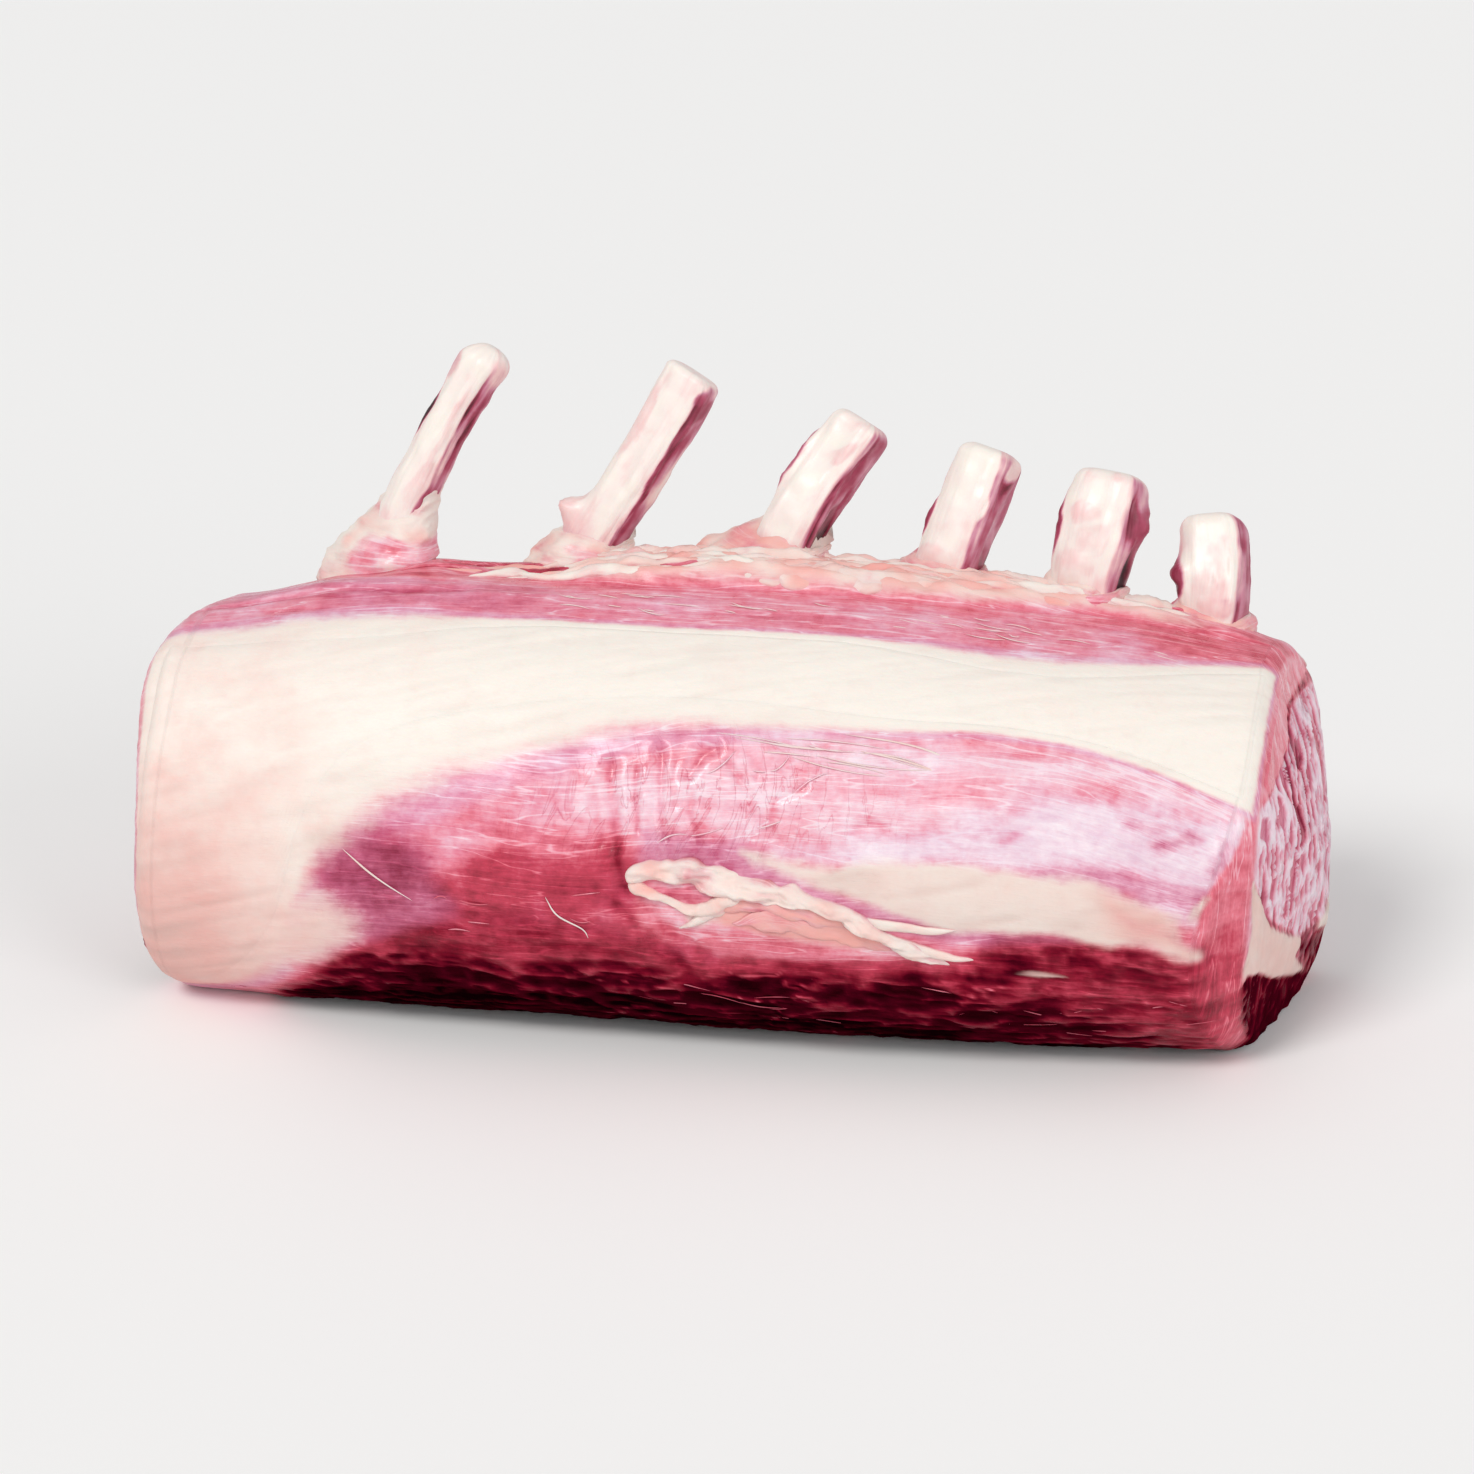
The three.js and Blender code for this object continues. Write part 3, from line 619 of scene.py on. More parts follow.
skinPatches = {
    "crown strip": ({"tone": 0.75, "mauve": 0.45}, 3, [
        (-110, 0.44), (110, 0.44), (110, 0.6), (-50, 0.56), (-110, 0.54)]),
    "redder under the ridge": ({"tone": 0.7, "mauve": 0.25}, 5, [
        (-30, 0.518), (0, 0.52), (40, 0.518), (70, 0.53), (70, 0.58), (-30, 0.57)]),
    "crown hump": ({"tone": 0.7, "mauve": 0.6}, 2.5, [
        (-84, 0.503), (-66, 0.505), (-50, 0.509), (-50, 0.55), (-86, 0.55)]),
    "pale line under the hump": ({"tone": 0.82, "veil": 0.16}, 2, [
        (-80, 0.5), (-74, 0.502), (-65, 0.5), (-65, 0.505), (-74, 0.508), (-80, 0.505)]),
    "crown haze left": ({"veil": 0.5, "mauve": 0.7, "tone": 0.78}, 4, [
        (-96, 0.45), (-64, 0.453), (-54, 0.46), (-62, 0.468), (-72, 0.467), (-96, 0.458)]),
    "crown haze right": ({"veil": 0.26, "tone": 0.79, "mauve": 0.5}, 6, [
        (36, 0.46), (60, 0.458), (86, 0.485), (78, 0.492), (56, 0.475)]),
    "mauve before the first bones": ({"tone": 0.66, "mauve": 0.5}, 3, [
        (-68, 0.477), (-34, 0.476), (-30, 0.515), (-68, 0.502)]),
    "red by the first bones": ({"tone": 0.69, "mauve": 0.0}, 5, [
        (-66, 0.53), (-50, 0.526), (-24, 0.53), (-24, 0.6), (-66, 0.6)]),
    "crown red right": ({"tone": 0.64, "mauve": 0.05}, 6, [
        (74, 0.505), (84, 0.49), (110, 0.46), (110, 0.6), (58, 0.57)]),
    "pale middle": ({"tone": 0.9, "veil": 0.3, "mauve": 0.35}, 9, [
        (-34, 0.322), (-20, 0.345), (-4, 0.362), (8, 0.362), (20, 0.354), (36, 0.348), (52, 0.352),
        (48, 0.33), (30, 0.298), (-8, 0.302), (-22, 0.312)]),
    "wrinkled middle": ({"wrinkle": 1.0}, 14, [
        (-28, 0.31), (-16, 0.355), (6, 0.37), (26, 0.35), (32, 0.325), (10, 0.302), (-12, 0.302)]),
    "pink right of it": ({"tone": 0.9, "veil": 0.42, "mauve": 0.4}, 7, [
        (8, 0.374), (40, 0.382), (62, 0.386), (90, 0.352), (88, 0.34), (70, 0.36), (48, 0.356), (34, 0.352),
        (20, 0.358)]),
    "red middle": ({"tone": 0.5, "mauve": 0.2}, 9, [
        (-45, 0.262), (-36, 0.29), (-14, 0.297), (-6, 0.285), (-6, 0.25), (-18, 0.23), (-40, 0.23)]),
    "mauve under the fat": ({"tone": 0.76, "mauve": 0.45, "veil": 0.12}, 6, [
        (-64, 0.26), (-52, 0.305), (-36, 0.335), (-22, 0.35), (-20, 0.318), (-36, 0.292), (-46, 0.265)]),
    "lilac left": ({"tone": 0.41, "veil": 0.1, "mauve": 0.75}, 7, [
        (-64, 0.29), (-54, 0.302), (-45, 0.29), (-41, 0.25), (-44, 0.232), (-55, 0.216), (-64, 0.235)]),
    "violet band": ({"tone": 0.66, "veil": 0.2, "mauve": 0.9}, 4, [
        (-8, 0.308), (6, 0.305), (20, 0.283), (33, 0.268), (48, 0.258), (62, 0.258), (64, 0.246),
        (48, 0.24), (34, 0.25), (20, 0.268), (4, 0.284), (-8, 0.29)]),
    "silverskin": ({"tone": 0.97, "veil": 0.74, "mauve": 0.8}, 8, [
        (14, 0.3), (30, 0.307), (44, 0.33), (56, 0.35), (72, 0.351), (90, 0.336), (88, 0.305), (76, 0.302),
        (64, 0.304), (54, 0.3), (43, 0.302), (31, 0.296)]),
    "lilac by the cut": ({"tone": 0.86, "veil": 0.7, "mauve": 0.8}, 4, [
        (70, 0.347), (90, 0.341), (88, 0.3), (83, 0.262), (72, 0.284), (72, 0.31)]),
    "violet under the silverskin": ({"tone": 0.66, "veil": 0.25, "mauve": 0.9}, 4, [
        (54, 0.3), (64, 0.309), (78, 0.302), (84, 0.294), (80, 0.28), (66, 0.294), (56, 0.292)]),
    "dark belly": ({"tone": 0.17, "mauve": 0.0, "veil": 0.0}, 7, [
        (-120, 0.0), (-78, 0.05), (-70, 0.15), (-62, 0.196), (-45, 0.224), (-30, 0.234), (-15, 0.228),
        (-2, 0.207), (22, 0.214), (41, 0.222), (50, 0.246), (62, 0.251), (70, 0.247), (78, 0.24),
        (96, 0.23), (120, 0.1), (120, 0.0)]),
    "red between": ({"tone": 0.4}, 8, [
        (-58, 0.212), (-44, 0.232), (-30, 0.244), (-12, 0.238), (2, 0.216), (0, 0.204), (-20, 0.2),
        (-44, 0.198)]),
    # painted shade: the meat darkens to near black towards the floor
    "painted shade at the foot": ({"tone": 0.0}, 11, [
        (-80, -0.2), (-72, 0.13), (-40, 0.168), (0, 0.168), (40, 0.158), (60, 0.12), (90, 0.05), (90, -0.2)]),
    "red by the cut": ({"tone": 0.36}, 9, [
        (50, 0.247), (70, 0.245), (94, 0.225), (104, 0.12), (84, 0.1), (70, 0.16), (56, 0.2)]),
    "film at the fat's end": ({"fat": 0.1, "veil": 0.14, "tone": 0.52, "mauve": 0.8}, 6, [
        (-64, 0.196), (-55, 0.212), (-44, 0.236), (-40, 0.248), (-46, 0.262), (-56, 0.256), (-66, 0.25)]),
    "thin end of the fat": ({"fat": 0.8, "blush": 0.45, "tone": 0.74, "mauve": 0.5}, 9, [
        (-92, 0.11), (-80, 0.14), (-70, 0.176), (-62, 0.198), (-57, 0.213), (-57, 0.232), (-62, 0.25),
        (-80, 0.25)]),
    "film under the flap": ({"tone": 0.74, "veil": 0.3, "mauve": 0.1}, 4, [
        (-9, 0.275), (0, 0.277), (12, 0.27), (22, 0.262), (30, 0.246), (38, 0.232), (30, 0.23), (20, 0.233),
        (8, 0.236), (0, 0.236), (-8, 0.245)]),
    "cream in the film": ({"fat": 0.75, "blush": 0.3, "tone": 0.7}, 3, [
        (-1, 0.258), (4, 0.268), (12, 0.27), (20, 0.265), (14, 0.257), (5, 0.254), (2, 0.246), (-1, 0.244)]),
    "peach in the film": ({"fat": 0.78, "blush": 1.15, "tone": 0.7, "mauve": 0.0, "veil": 0.0}, 4, [
        (5, 0.262), (14, 0.266), (24, 0.256), (34, 0.238), (24, 0.236), (12, 0.24), (5, 0.248)]),
    "red window": ({"tone": 0.5, "fat": 0.0, "veil": 0.1, "mauve": 0.3}, 2, [
        (-7, 0.272), (0, 0.275), (4, 0.27), (0, 0.262), (-5, 0.267)]),
    "right bevel": ({"tone": 0.68, "fat": 0.0, "veil": 0.0, "mauve": 0.0}, 1.0, [
        (88.5, 0.356), (85.6, 0.317), (82.2, 0.291), (80.8, 0.266), (84.6, 0.236), (85.4, 0.19),
        (110, 0.17), (110, 0.36)]),
    "bevel foot": ({"tone": 0.55, "veil": 0.0}, 8, [(82, 0.262), (110, 0.262), (110, 0.1), (86, 0.1)]),
    "lower cream": ({"fat": 1.0, "blush": 0.2, "tone": 0.68}, 3.6, [
        (8, 0.299), (22, 0.293), (31, 0.299), (43, 0.301), (54, 0.297), (64, 0.296), (70, 0.286),
        (78, 0.274), (79, 0.258), (82, 0.243), (77, 0.246), (72, 0.258), (68, 0.249), (60, 0.257),
        (50, 0.255), (41, 0.252), (32, 0.267), (22, 0.278), (12, 0.29)]),
    "pink in the cream's end": ({"blush": 0.8, "fat": 0.62, "tone": 0.62, "mauve": 0.6}, 9, [
        (66, 0.285), (78, 0.27), (80, 0.25), (70, 0.262)]),
    "fringe by the bevel": ({"fat": 0.8, "blush": 0.0}, 1.4, [
        (79.6, 0.264), (80.6, 0.283), (82.6, 0.294), (83, 0.292), (81.4, 0.281), (80.6, 0.264)]),
    "white bit in the dark": ({"fat": 0.8, "blush": 0.1}, 1.0, [
        (52, 0.222), (56, 0.2195), (61, 0.2205), (60, 0.2225), (55, 0.224)]),
    "rib side": ({"tone": 0.58, "veil": 0.3, "mauve": 0.5}, 8, [
        (-130, 0.64), (130, 0.64), (130, 0.93), (-130, 0.93)]),
}

cutPatches = {
    "bottom meat": ({"tone": 0.26, "mauve": 0.0, "fibre": 0.25, "veil": 0.0}, 2, [
        (-36, -3), (30, -3), (30, 12), (9, 5), (-6, 10), (-19, 16), (-24, 17), (-30, 12), (-36, 14)]),
    # painted shade: darker towards the bottom of the cut, by the floor
    "dark under it": ({"tone": 0.16}, 8, [
        (-40, -9), (36, -9), (36, 3), (6, 1), (-10, 4), (-22, 6), (-40, 2)]),
    "cap": ({"tone": 0.76, "mauve": 0.0, "fibre": 0.15, "veil": 0.0}, 1.2, [
        (-40, 80), (30, 80), (30, 57), (12, 56), (0.4, 55.5), (-5.3, 50.6), (-13, 48), (-24, 45.5),
        (-40, 44)]),
    "eye muscle": ({"tone": 0.87, "veil": 0.44, "mauve": 0.5, "fibre": 1.0}, 1.2, [
        (2.5, 54.8), (20, 54), (27, 45), (27, 15), (22, 11.5), (17, 12.6), (11, 13.2), (0.8, 14.6),
        (-8, 19.4), (-18.5, 25.4), (-21.5, 29), (-23, 32), (-27, 37), (-25, 44.6), (-13, 48), (-5.3, 50.6)]),
    "edge fibres": ({"tone": 0.72, "veil": 0.35, "mauve": 0.5, "fibre": 0.7}, 1.0, [
        (-26, 40), (-30, 40), (-35, 32), (-33, 14), (-29, 13), (-23.5, 19), (-23.5, 27)]),
    "seam": ({"fat": 1.0, "blush": 0.45, "tone": 0.66, "fibre": 0.1}, 1.4, [
        (-26, 36.5), (-22.6, 31), (-20.5, 27.5), (-16, 23), (-6, 17.6), (0.8, 14.6), (2.2, 12.6), (0, 11.4),
        (4.5, 8), (8.9, 5.1), (2, 7), (-6, 9.8), (-12, 12.4), (-19, 16), (-24, 17), (-27.5, 13), (-30, 7),
        (-33, 2), (-30, 13), (-26.5, 17.5), (-24.2, 22), (-23.8, 26), (-24.4, 30)]),
    "far cream": ({"fat": 1.0, "blush": 0.1, "tone": 0.66, "fibre": 0.1}, 1.0, [
        (25, 20), (22, 17.5), (19, 13.8), (14, 13.6), (10.6, 13.2), (12, 11.4), (17, 10), (21, 7.6), (25, 7)]),
    "small muscle": ({"tone": 0.36, "veil": 0.0, "fat": 0.0, "mauve": 0.0, "fibre": 0.4}, 1.2, [
        (9.5, 9.6), (13, 11), (17.4, 9.6), (19.6, 6), (17, 3), (12, 3), (9, 6)]),
}

# the ridge the bones stand in: its foot in front, its height in mm and its share of fat, all along x
ridge = {
    "foot": [
        (-78, 0.53), (-62, 0.522), (-48, 0.521), (-22, 0.526), (-2, 0.532), (20, 0.529), (39, 0.532),
        (62, 0.552), (75, 0.544), (90, 0.55)],
    "height": [
        (-74, 0.0), (-50, 0.0), (-34, 0.2), (-18, 2.0), (0, 3.3), (20, 3.0), (40, 2.6), (60, 2.2), (84, 1.0)],
    "fatShare": [
        (-64, 0.0), (-45, 0.0), (-34, 0.08), (-26, 0.4), (-16, 0.9), (30, 1.0), (60, 0.9), (70, 0.75),
        (84, 0.2)],
}


def overRibs(points):
    # 1 over the middle of each rib where it lies in the back of the loin, falling by a fourth power beside it
    x, z = points[..., 0], points[..., 2]
    near = 0 * x
    for rib in ribs:
        middle = mix(rib["foot"], rib["exit"], z / rib["exitZ"])
        near = np.maximum(near, np.exp(-(((x - middle) / (0.66 * rib["width"])) ** 4)))
    return near


def backShare(around, share):
    # 1 on the rib side of the skin, 0 on the rest
    return smooth(0.62, 0.66, around) * smooth(0.975, 0.94, around) * np.where(share > 0, 0.0, 1.0)


def ridgeShare(x, around):
    # 0 in front of the ridge's foot and behind the ridge, 1 on top of it
    up = around - curveAt(x, ridge["foot"])
    return smooth(-0.004, 0.013, up) * smooth(0.1, 0.06, up) * smooth(-80, -66, x) * smooth(92, 84, x)


def paint(base, patches, a, b, wobble):
    # each patch is laid over the last: full inside its outline, and fading over its soft width
    fields = {key: value + 0 * a for key, value in base.items()}
    for colours, soft, outline in patches.values():
        inside = edgeDistance(a, b, outline)
        share = smooth(-soft / 2, soft / 2, inside + wobble * min(1.5, 0.35 * soft))
        for key, value in colours.items():
            fields[key] = mix(fields[key], value, share)
    return fields


def inGirth(patches):
    # the same patches with their place round the section in mm
    return {
        name: (colours, soft, [(x, v * girth) for x, v in outline])
        for name, (colours, soft, outline) in patches.items()
    }


def fleshFields(points, around, rows, inset):
    # the colour fields at each point, and its distance inside the fat's edge: the skin's patches first, then
    # the back, the ridge and the fat, and the cut's patches where the rims turn into the cuts
    x, y, z = (points[..., k] for k in range(3))
    side, length, _, share = (rows[:, None, k] for k in range(4))
    wobble = 0.75 * noise(points, (9, 4, 4), 5, 3) + 0.45 * noise(points, (3, 1.6, 1.6), 7, 2)
    fields = paint(skinBase, inGirth(skinPatches), x, around * girth, wobble)
    back = backShare(around, share)
    over = overRibs(points)
    # pale patches of the membrane: partly its own colour, partly painted sheen
    membrane = smooth(-0.1, 0.5, noise(points, (16, 9, 9), 13, 3))
    scraps = noise(points, (9, 5, 4), 15, 3) - 0.35
    scraps = scraps + 0.8 * smooth(0.7, 0.63, around) + 0.8 * smooth(0.9, 0.94, around) - 0.3 * over
    behind = {key: base + pale * membrane + onBone * over for key, (base, pale, onBone) in backLook.items()}
    behind |= {"blush": 0.35 + 0.4 * wobble, "fat": 0.95 * smooth(0.15, 0.45, scraps)}
    for key, value in behind.items():
        fields[key] = mix(fields[key], np.clip(value, 0, 1), back)
    onRidge = ridgeShare(x, around)
    fatShare = curveAt(x, ridge["fatShare"])
    fields["fat"] = mix(fields["fat"], np.clip(fatShare + 0.35 * wobble, 0, 1), onRidge)
    fields["blush"] = mix(fields["blush"], np.clip(0.62 + 0.5 * noise(points, 5, 9, 2), 0, 1), onRidge)
    fields["tone"] = mix(fields["tone"], 0.6 + 0.2 * fatShare, onRidge)
    fields["mauve"] = fields["mauve"] * (1 - 0.8 * onRidge)
    upper = (curveAt(x, fatUpper) - around) * girth / curveAt(x, fatFeatherUpper)
    lower = (around - curveAt(x, fatLower)) * girth / curveAt(x, fatFeatherLower)
    toCut = (1 - length) * (form["rightEnd"] - form["leftEnd"])
    fromCut = fatEnds["overRight"] + np.where(side > 0, -inset, toCut)
    fromLeft = fatEnds["overLeft"] - np.where(side < 0, inset, 0)
    edge = np.minimum(np.minimum(upper, lower), np.minimum(fromCut, fromLeft))
    fields["fat"] = np.maximum(fields["fat"], smooth(-0.75, 0.75, edge + 0.3 * wobble))
    fields["mauve"] = np.maximum(fields["mauve"], 0.8 * smooth(0.6, -0.4, edge) * smooth(-1.6, -0.4, edge))
    # low on the left the fat turns pinker, and darker in painted shade
    lowLeft = smooth(-50, -92, x) * smooth(0.42, 0.18, around)
    pinker = 0.5 * lowLeft + 0.22 * smooth(-30, -80, x) + 0.12 * smooth(0.2, 0.7, wobble)
    fields["blush"] = np.maximum(fields["blush"], pinker)
    fields["tone"] = mix(fields["tone"], 0.97 - 0.36 * lowLeft, smooth(-1.5, 2.5, edge))
    cut = paint(cutBase, cutPatches, y, z, 0.9 * wobble)
    toRight = np.where(side > 0, smooth(0.6, 1.0, inset / np.maximum(rimRound(1, around), 0.1)), 0)
    toRight = np.maximum(toRight, (share > 0) & (side > 0))
    toLeft = np.where(side < 0, smooth(2.5, 4.0, inset + 0.4 * wobble), 0)
    for key in fields:
        fields[key] = mix(fields[key], cut[key], np.maximum(toRight, toLeft))
    fields["tone"] = fields["tone"] - leftCut["darker"] * toLeft * (1 - fields["fat"])
    fields["veil"] = fields["veil"] * (1 - leftCut["lessVeil"] * toLeft)
    fields["edge"] = edge
    return fields


# relief, in mm along the skin's normal; a Shade is how much the same form darkens or pales the flesh's colour,
# mostly painted light and shade

relief = {
    "broad": 0.5, "small": 0.25,
    "strand": 0.5, "strandShade": 0.18, "knot": 0.4, "knotShade": 0.14, "tornSunk": 0.45, "tornShade": 0.1,
    "glintShade": 0.3, "fibre": 0.16, "fibreShade": 0.07, "drag": 0.16, "dragShade": 0.18, "fatBumps": 0.14,
    "wrinkle": 0.12, "wrinkleShade": 0.05, "crossing": 0.1, "crossingShade": 0.06,
    "creaseLip": 0.15, "creaseShade": 0.3, "pucker": 0.2, "puckerShade": 0.26, "cloudShade": 0.36,
    "overBones": 3.7, "betweenBones": 0.5, "membrane": 0.5, "backFat": 0.8, "backShade": 0.12,
    "ridgeTop": 0.8, "ridgeLump": 0.35, "ridgeShade": 0.2,
    "cutGap": 0.55, "gapShade": 0.42, "endShade": 0.12, "cutWaves": 0.45, "cutFat": 0.5, "rightDome": 1.6,
}

# (depth, width, line)
creases = [
    (0.55, 1.1, [(-14.2, 0.352), (-13.9, 0.326), (-12.9, 0.309), (-12.1, 0.287), (-11.2, 0.272)]),
    (0.4, 0.8, [(-16.6, 0.335), (-16, 0.318), (-15.2, 0.3)]),
    (0.6, 0.6, [(-10, 0.35), (-9.9, 0.327), (-9.2, 0.31)]),
    (0.55, 0.8, [(-6.1, 0.364), (-5.9, 0.34), (-5.6, 0.322), (-4.6, 0.306)]),
    (0.3, 0.5, [(-3.6, 0.356), (-4, 0.34), (-3.2, 0.325)]),
    (0.6, 0.9, [(2.2, 0.368), (0.2, 0.362), (-1.6, 0.348)]),
    (0.45, 0.8, [(-0.6, 0.335), (-1.0, 0.325), (0.2, 0.314), (1.2, 0.302)]),
    (0.4, 0.6, [(4.8, 0.357), (8.6, 0.338), (9.8, 0.325), (12.7, 0.31)]),
    (0.4, 0.6, [(17.5, 0.345), (13, 0.334), (12.3, 0.322), (14, 0.307)]),
    (0.5, 0.8, [(26, 0.32), (29.5, 0.324), (31, 0.32)]),
    (0.35, 1.2, [(-13, 0.262), (-9, 0.24), (-3, 0.222), (-1, 0.205)]),
    (0.4, 1.2, [(-8, 0.262), (-3, 0.238), (4, 0.216), (20, 0.218), (36, 0.224)]),
    (0.4, 0.9, [(-85, 0.497), (-76, 0.5), (-68, 0.503), (-54, 0.5), (-44, 0.506)]),
    (0.35, 0.8, [(85.3, 0.352), (84.7, 0.317), (81.4, 0.291), (80.2, 0.266), (83.8, 0.236)]),
]

# (x, place round the section, reach along, reach across, rise)
swells = [
    (-68, 0.514, 13, 4, 0.8), (-86, 0.6, 13, 19, -4.6), (-66, 0.6, 9, 14, -2.6), (-99, 0.44, 8, 22, 3.5),
    (-37, 0.56, 12, 9, -1.0), (62, 0.33, 24, 8, 0.9), (45, 0.276, 28, 4.5, 0.9), (-22, 0.27, 18, 10, 0.6),
    (12, 0.252, 12, 5, 1.0), (-25, 0.5, 40, 5, 0.4), (30, 0.19, 30, 8, 0.6), (-40, 0.36, 30, 10, -0.4),
]


def swellAt(x, s):
    # the sum of the swells: full over a broad middle lengthwise, bell-shaped across
    total = 0 * x
    for middle, around, reachX, reachS, rise in swells:
        total = total + rise * np.exp(-(((x - middle) / reachX) ** 4) - ((s - around * girth) / reachS) ** 2)
    return total


def ridged(value):
    # 1 along the lines where the noise passes through 0, falling off to both sides
    return 1 - 2 * np.abs(value)


def reliefOf(points, around, rows, fields):
    # the height of the skin's relief in mm, and its shade: below 0 darker, above 0 paler
    x, y, z = (points[..., k] for k in range(3))
    s = around * girth
    share = rows[:, None, 3]
    onSkinPart = np.where(share > 0, 0.0, 1.0) + 0 * x
    bare = onSkinPart * (1 - fields["fat"])
    warp = 2.6 * noise(points, 15, 20, 2)
    sheet = joined(x, s + warp, 0.0)
    height = relief["broad"] * noise(points, 26, 21, 2) + relief["small"] * noise(points, 9, 22, 2)
    shade = 0 * x

    # strands, knots and hollows of the dark, torn belly: strands and knots paler, partly their own colour and
    # partly painted light, the rest darker in painted shade, and pale glints on some crests that are painted
    # highlights
    dark = smooth(0.5, 0.25, fields["tone"]) * bare
    dark = dark * (1 - backShare(around, share))
    strand = ridged(noise(sheet, (12, 2.6, 1), 31, 2))
    knot = ridged(noise(sheet, (4.5, 2.4, 1), 33, 3))
    height += dark * (relief["strand"] * strand + relief["knot"] * knot - relief["tornSunk"])
    shade += dark * (relief["strandShade"] * smooth(0.3, 1.0, strand)
                     + relief["knotShade"] * smooth(0.4, 1.0, knot) - relief["tornShade"])
    glint = smooth(0.9, 1.0, ridged(noise(sheet, (9, 3.4, 1), 37, 2)))
    shade += dark * relief["glintShade"] * glint * smooth(0, 0.5, noise(points, 12, 39, 1))

    # fibres along the muscle, and the fat's own drag marks
    calm = bare * (1 - dark)
    fibre = noise(sheet, (18, 1.5, 1), 35, 2)
    height += calm * relief["fibre"] * fibre
    shade += calm * relief["fibreShade"] * fibre
    drag = joined(x + 1.6 * s, s - 0.28 * x, 0.0)
    dragged = noise(drag, (16, 1.8, 1), 41, 2)
    fatty = fields["fat"] * onSkinPart
    height += fatty * (relief["drag"] * dragged + relief["fatBumps"] * noise(points, 5, 43, 2))
    # painted shade darkens the fat where its drag marks sink
    shade += fatty * relief["dragShade"] * np.minimum(0, dragged + 0.6 * noise(points, 7, 75, 3))

    # short wrinkles across the pale middle, the finer lines that cross them, and the creases, all darkened in
    # their grooves with painted shade
    wrinkled = np.exp(-(((x + 1) / 22) ** 2) - ((s - 0.334 * girth) / 8.5) ** 2) * bare
    tall = joined(x + 1.6 * noise(points, 6, 45, 2), s, 0.0)
    short = smooth(0.84, 1.0, ridged(noise(tall, (2.4, 11, 1), 47, 1)))
    crossing = smooth(0.8, 1.0, ridged(noise(sheet, (14, 2.6, 1), 49, 2)))
    height -= wrinkled * (relief["wrinkle"] * short + relief["crossing"] * crossing)
    shade -= wrinkled * (relief["wrinkleShade"] * short + relief["crossingShade"] * crossing)
    wavering = x + 0.5 * noise(points, 4, 51, 2)
    broken = 0.8 + 0.6 * noise(points, 2.4, 65, 2)
    for depth, width, line in creases:
        away = edgeDistance(wavering, s, [(a, b * girth) for a, b in line], closed=False) / width
        groove = np.exp(-(away**2))
        height -= onSkinPart * depth * (groove - relief["creaseLip"] * np.exp(-((away - 2.2) ** 2)))
        shade -= onSkinPart * relief["creaseShade"] * depth * groove * broken

    # the silverskin's puckers, paler on their ridges and darker between them in painted light and shade, and
    # cloudy patches, partly mottling and partly painted highlights
    pucker = ridged(noise(sheet, (5, 2.2, 1), 53, 3))
    silver = smooth(0.4, 0.9, fields["veil"]) * onSkinPart
    cloud = noise(sheet, (7, 4, 1), 69, 2)
    height += silver * relief["pucker"] * pucker
    shade += silver * (relief["puckerShade"] * (pucker - 0.4) + relief["cloudShade"] * cloud)
    height += (1 - smooth(0, 0.5, share)) * swellAt(x, s)

    # the rib side: the membrane drawn over the bones, and the meat sunk between them
    back = backShare(around, share)
    height += back * (relief["overBones"] * overRibs(points) * smooth(2, 14, z) - relief["betweenBones"]
                      + relief["membrane"] * noise(points, (8, 5, 5), 71, 3))
    height += back * relief["backFat"] * fields["fat"]
    shade += back * relief["backShade"] * noise(points, (3, 3, 3), 73, 3)

    # lumps of fat and scraps along the ridge, the lumps paler and the hollows between them darker in painted
    # light and shade
    onRidge = ridgeShare(x, around) * onSkinPart
    lump = ridged(noise(joined(x, s, 0.0), (8, 3.4, 1), 63, 3))
    height += onRidge * curveAt(x, ridge["height"]) * (relief["ridgeTop"] + relief["ridgeLump"] * lump)
    shade += onRidge * relief["ridgeShade"] * (lump - 0.4)

    # torn fibre ends of the cuts stand out in ridges that run up and down, with red gaps between them, darker
    # partly by their own red and partly by painted shade
    lean = joined(y + 0.12 * z + 0.9 * noise(points, 5, 55, 2), z, 0.0)
    ends = ridged(noise(lean, (1.25, 6.0, 1), 57, 2)) - 0.45 * np.abs(noise(lean, (0.7, 2.6, 1), 59, 2))
    wide = smooth(0.1, 0.5, noise(lean, (3.4, 9, 1), 67, 2))
    onCut = 1 - onSkinPart
    cut = onCut * fields["fibre"] * smooth(0.0, 0.05, share)
    gap = smooth(0.75, 0.25, ends) + 0.5 * wide * smooth(0.95, 0.5, ends)
    height -= cut * relief["cutGap"] * gap
    waves = relief["cutWaves"] * noise(points, (4, 7, 7), 61, 2)
    height += onCut * smooth(0, 0.1, share) * (waves + relief["cutFat"] * fields["fat"])
    dome = np.exp(-(((y - 6) / 22) ** 4) - ((z - 33) / 22) ** 4)
    height += onCut * (rows[:, None, 0] > 0) * relief["rightDome"] * dome
    shade += cut * (relief["endShade"] - relief["gapShade"] * gap)
    return height, shade


# the meat

meatValues = {"faceLeft": 36, "rimLeft": 10, "body": 206, "rimRight": 14, "faceRight": 54, "around": 304,
              "underFat": 1.4}


def setInto(fields, shade):
    # the relief's shading goes into the tone, and into the veil where there is one
    fields["tone"] = np.clip(fields["tone"] + shade, 0, 1)
    fields["veil"] = np.clip(fields["veil"] * (1 + 2.6 * np.minimum(shade, 0.1)), 0, 1)
    return {key: fields[key] for key in ("tone", "fat", "veil", "blush", "mauve", "wrinkle")}


def aroundSamples(count):
    # closer together on the front and crown than on the back and underside
    fine = np.linspace(0, 1, 2001)
    weight = 0.55 + 1.2 * smooth(0.06, 0.12, fine) * smooth(0.64, 0.56, fine)
    return closerWhere(fine, weight, np.arange(count) / count)


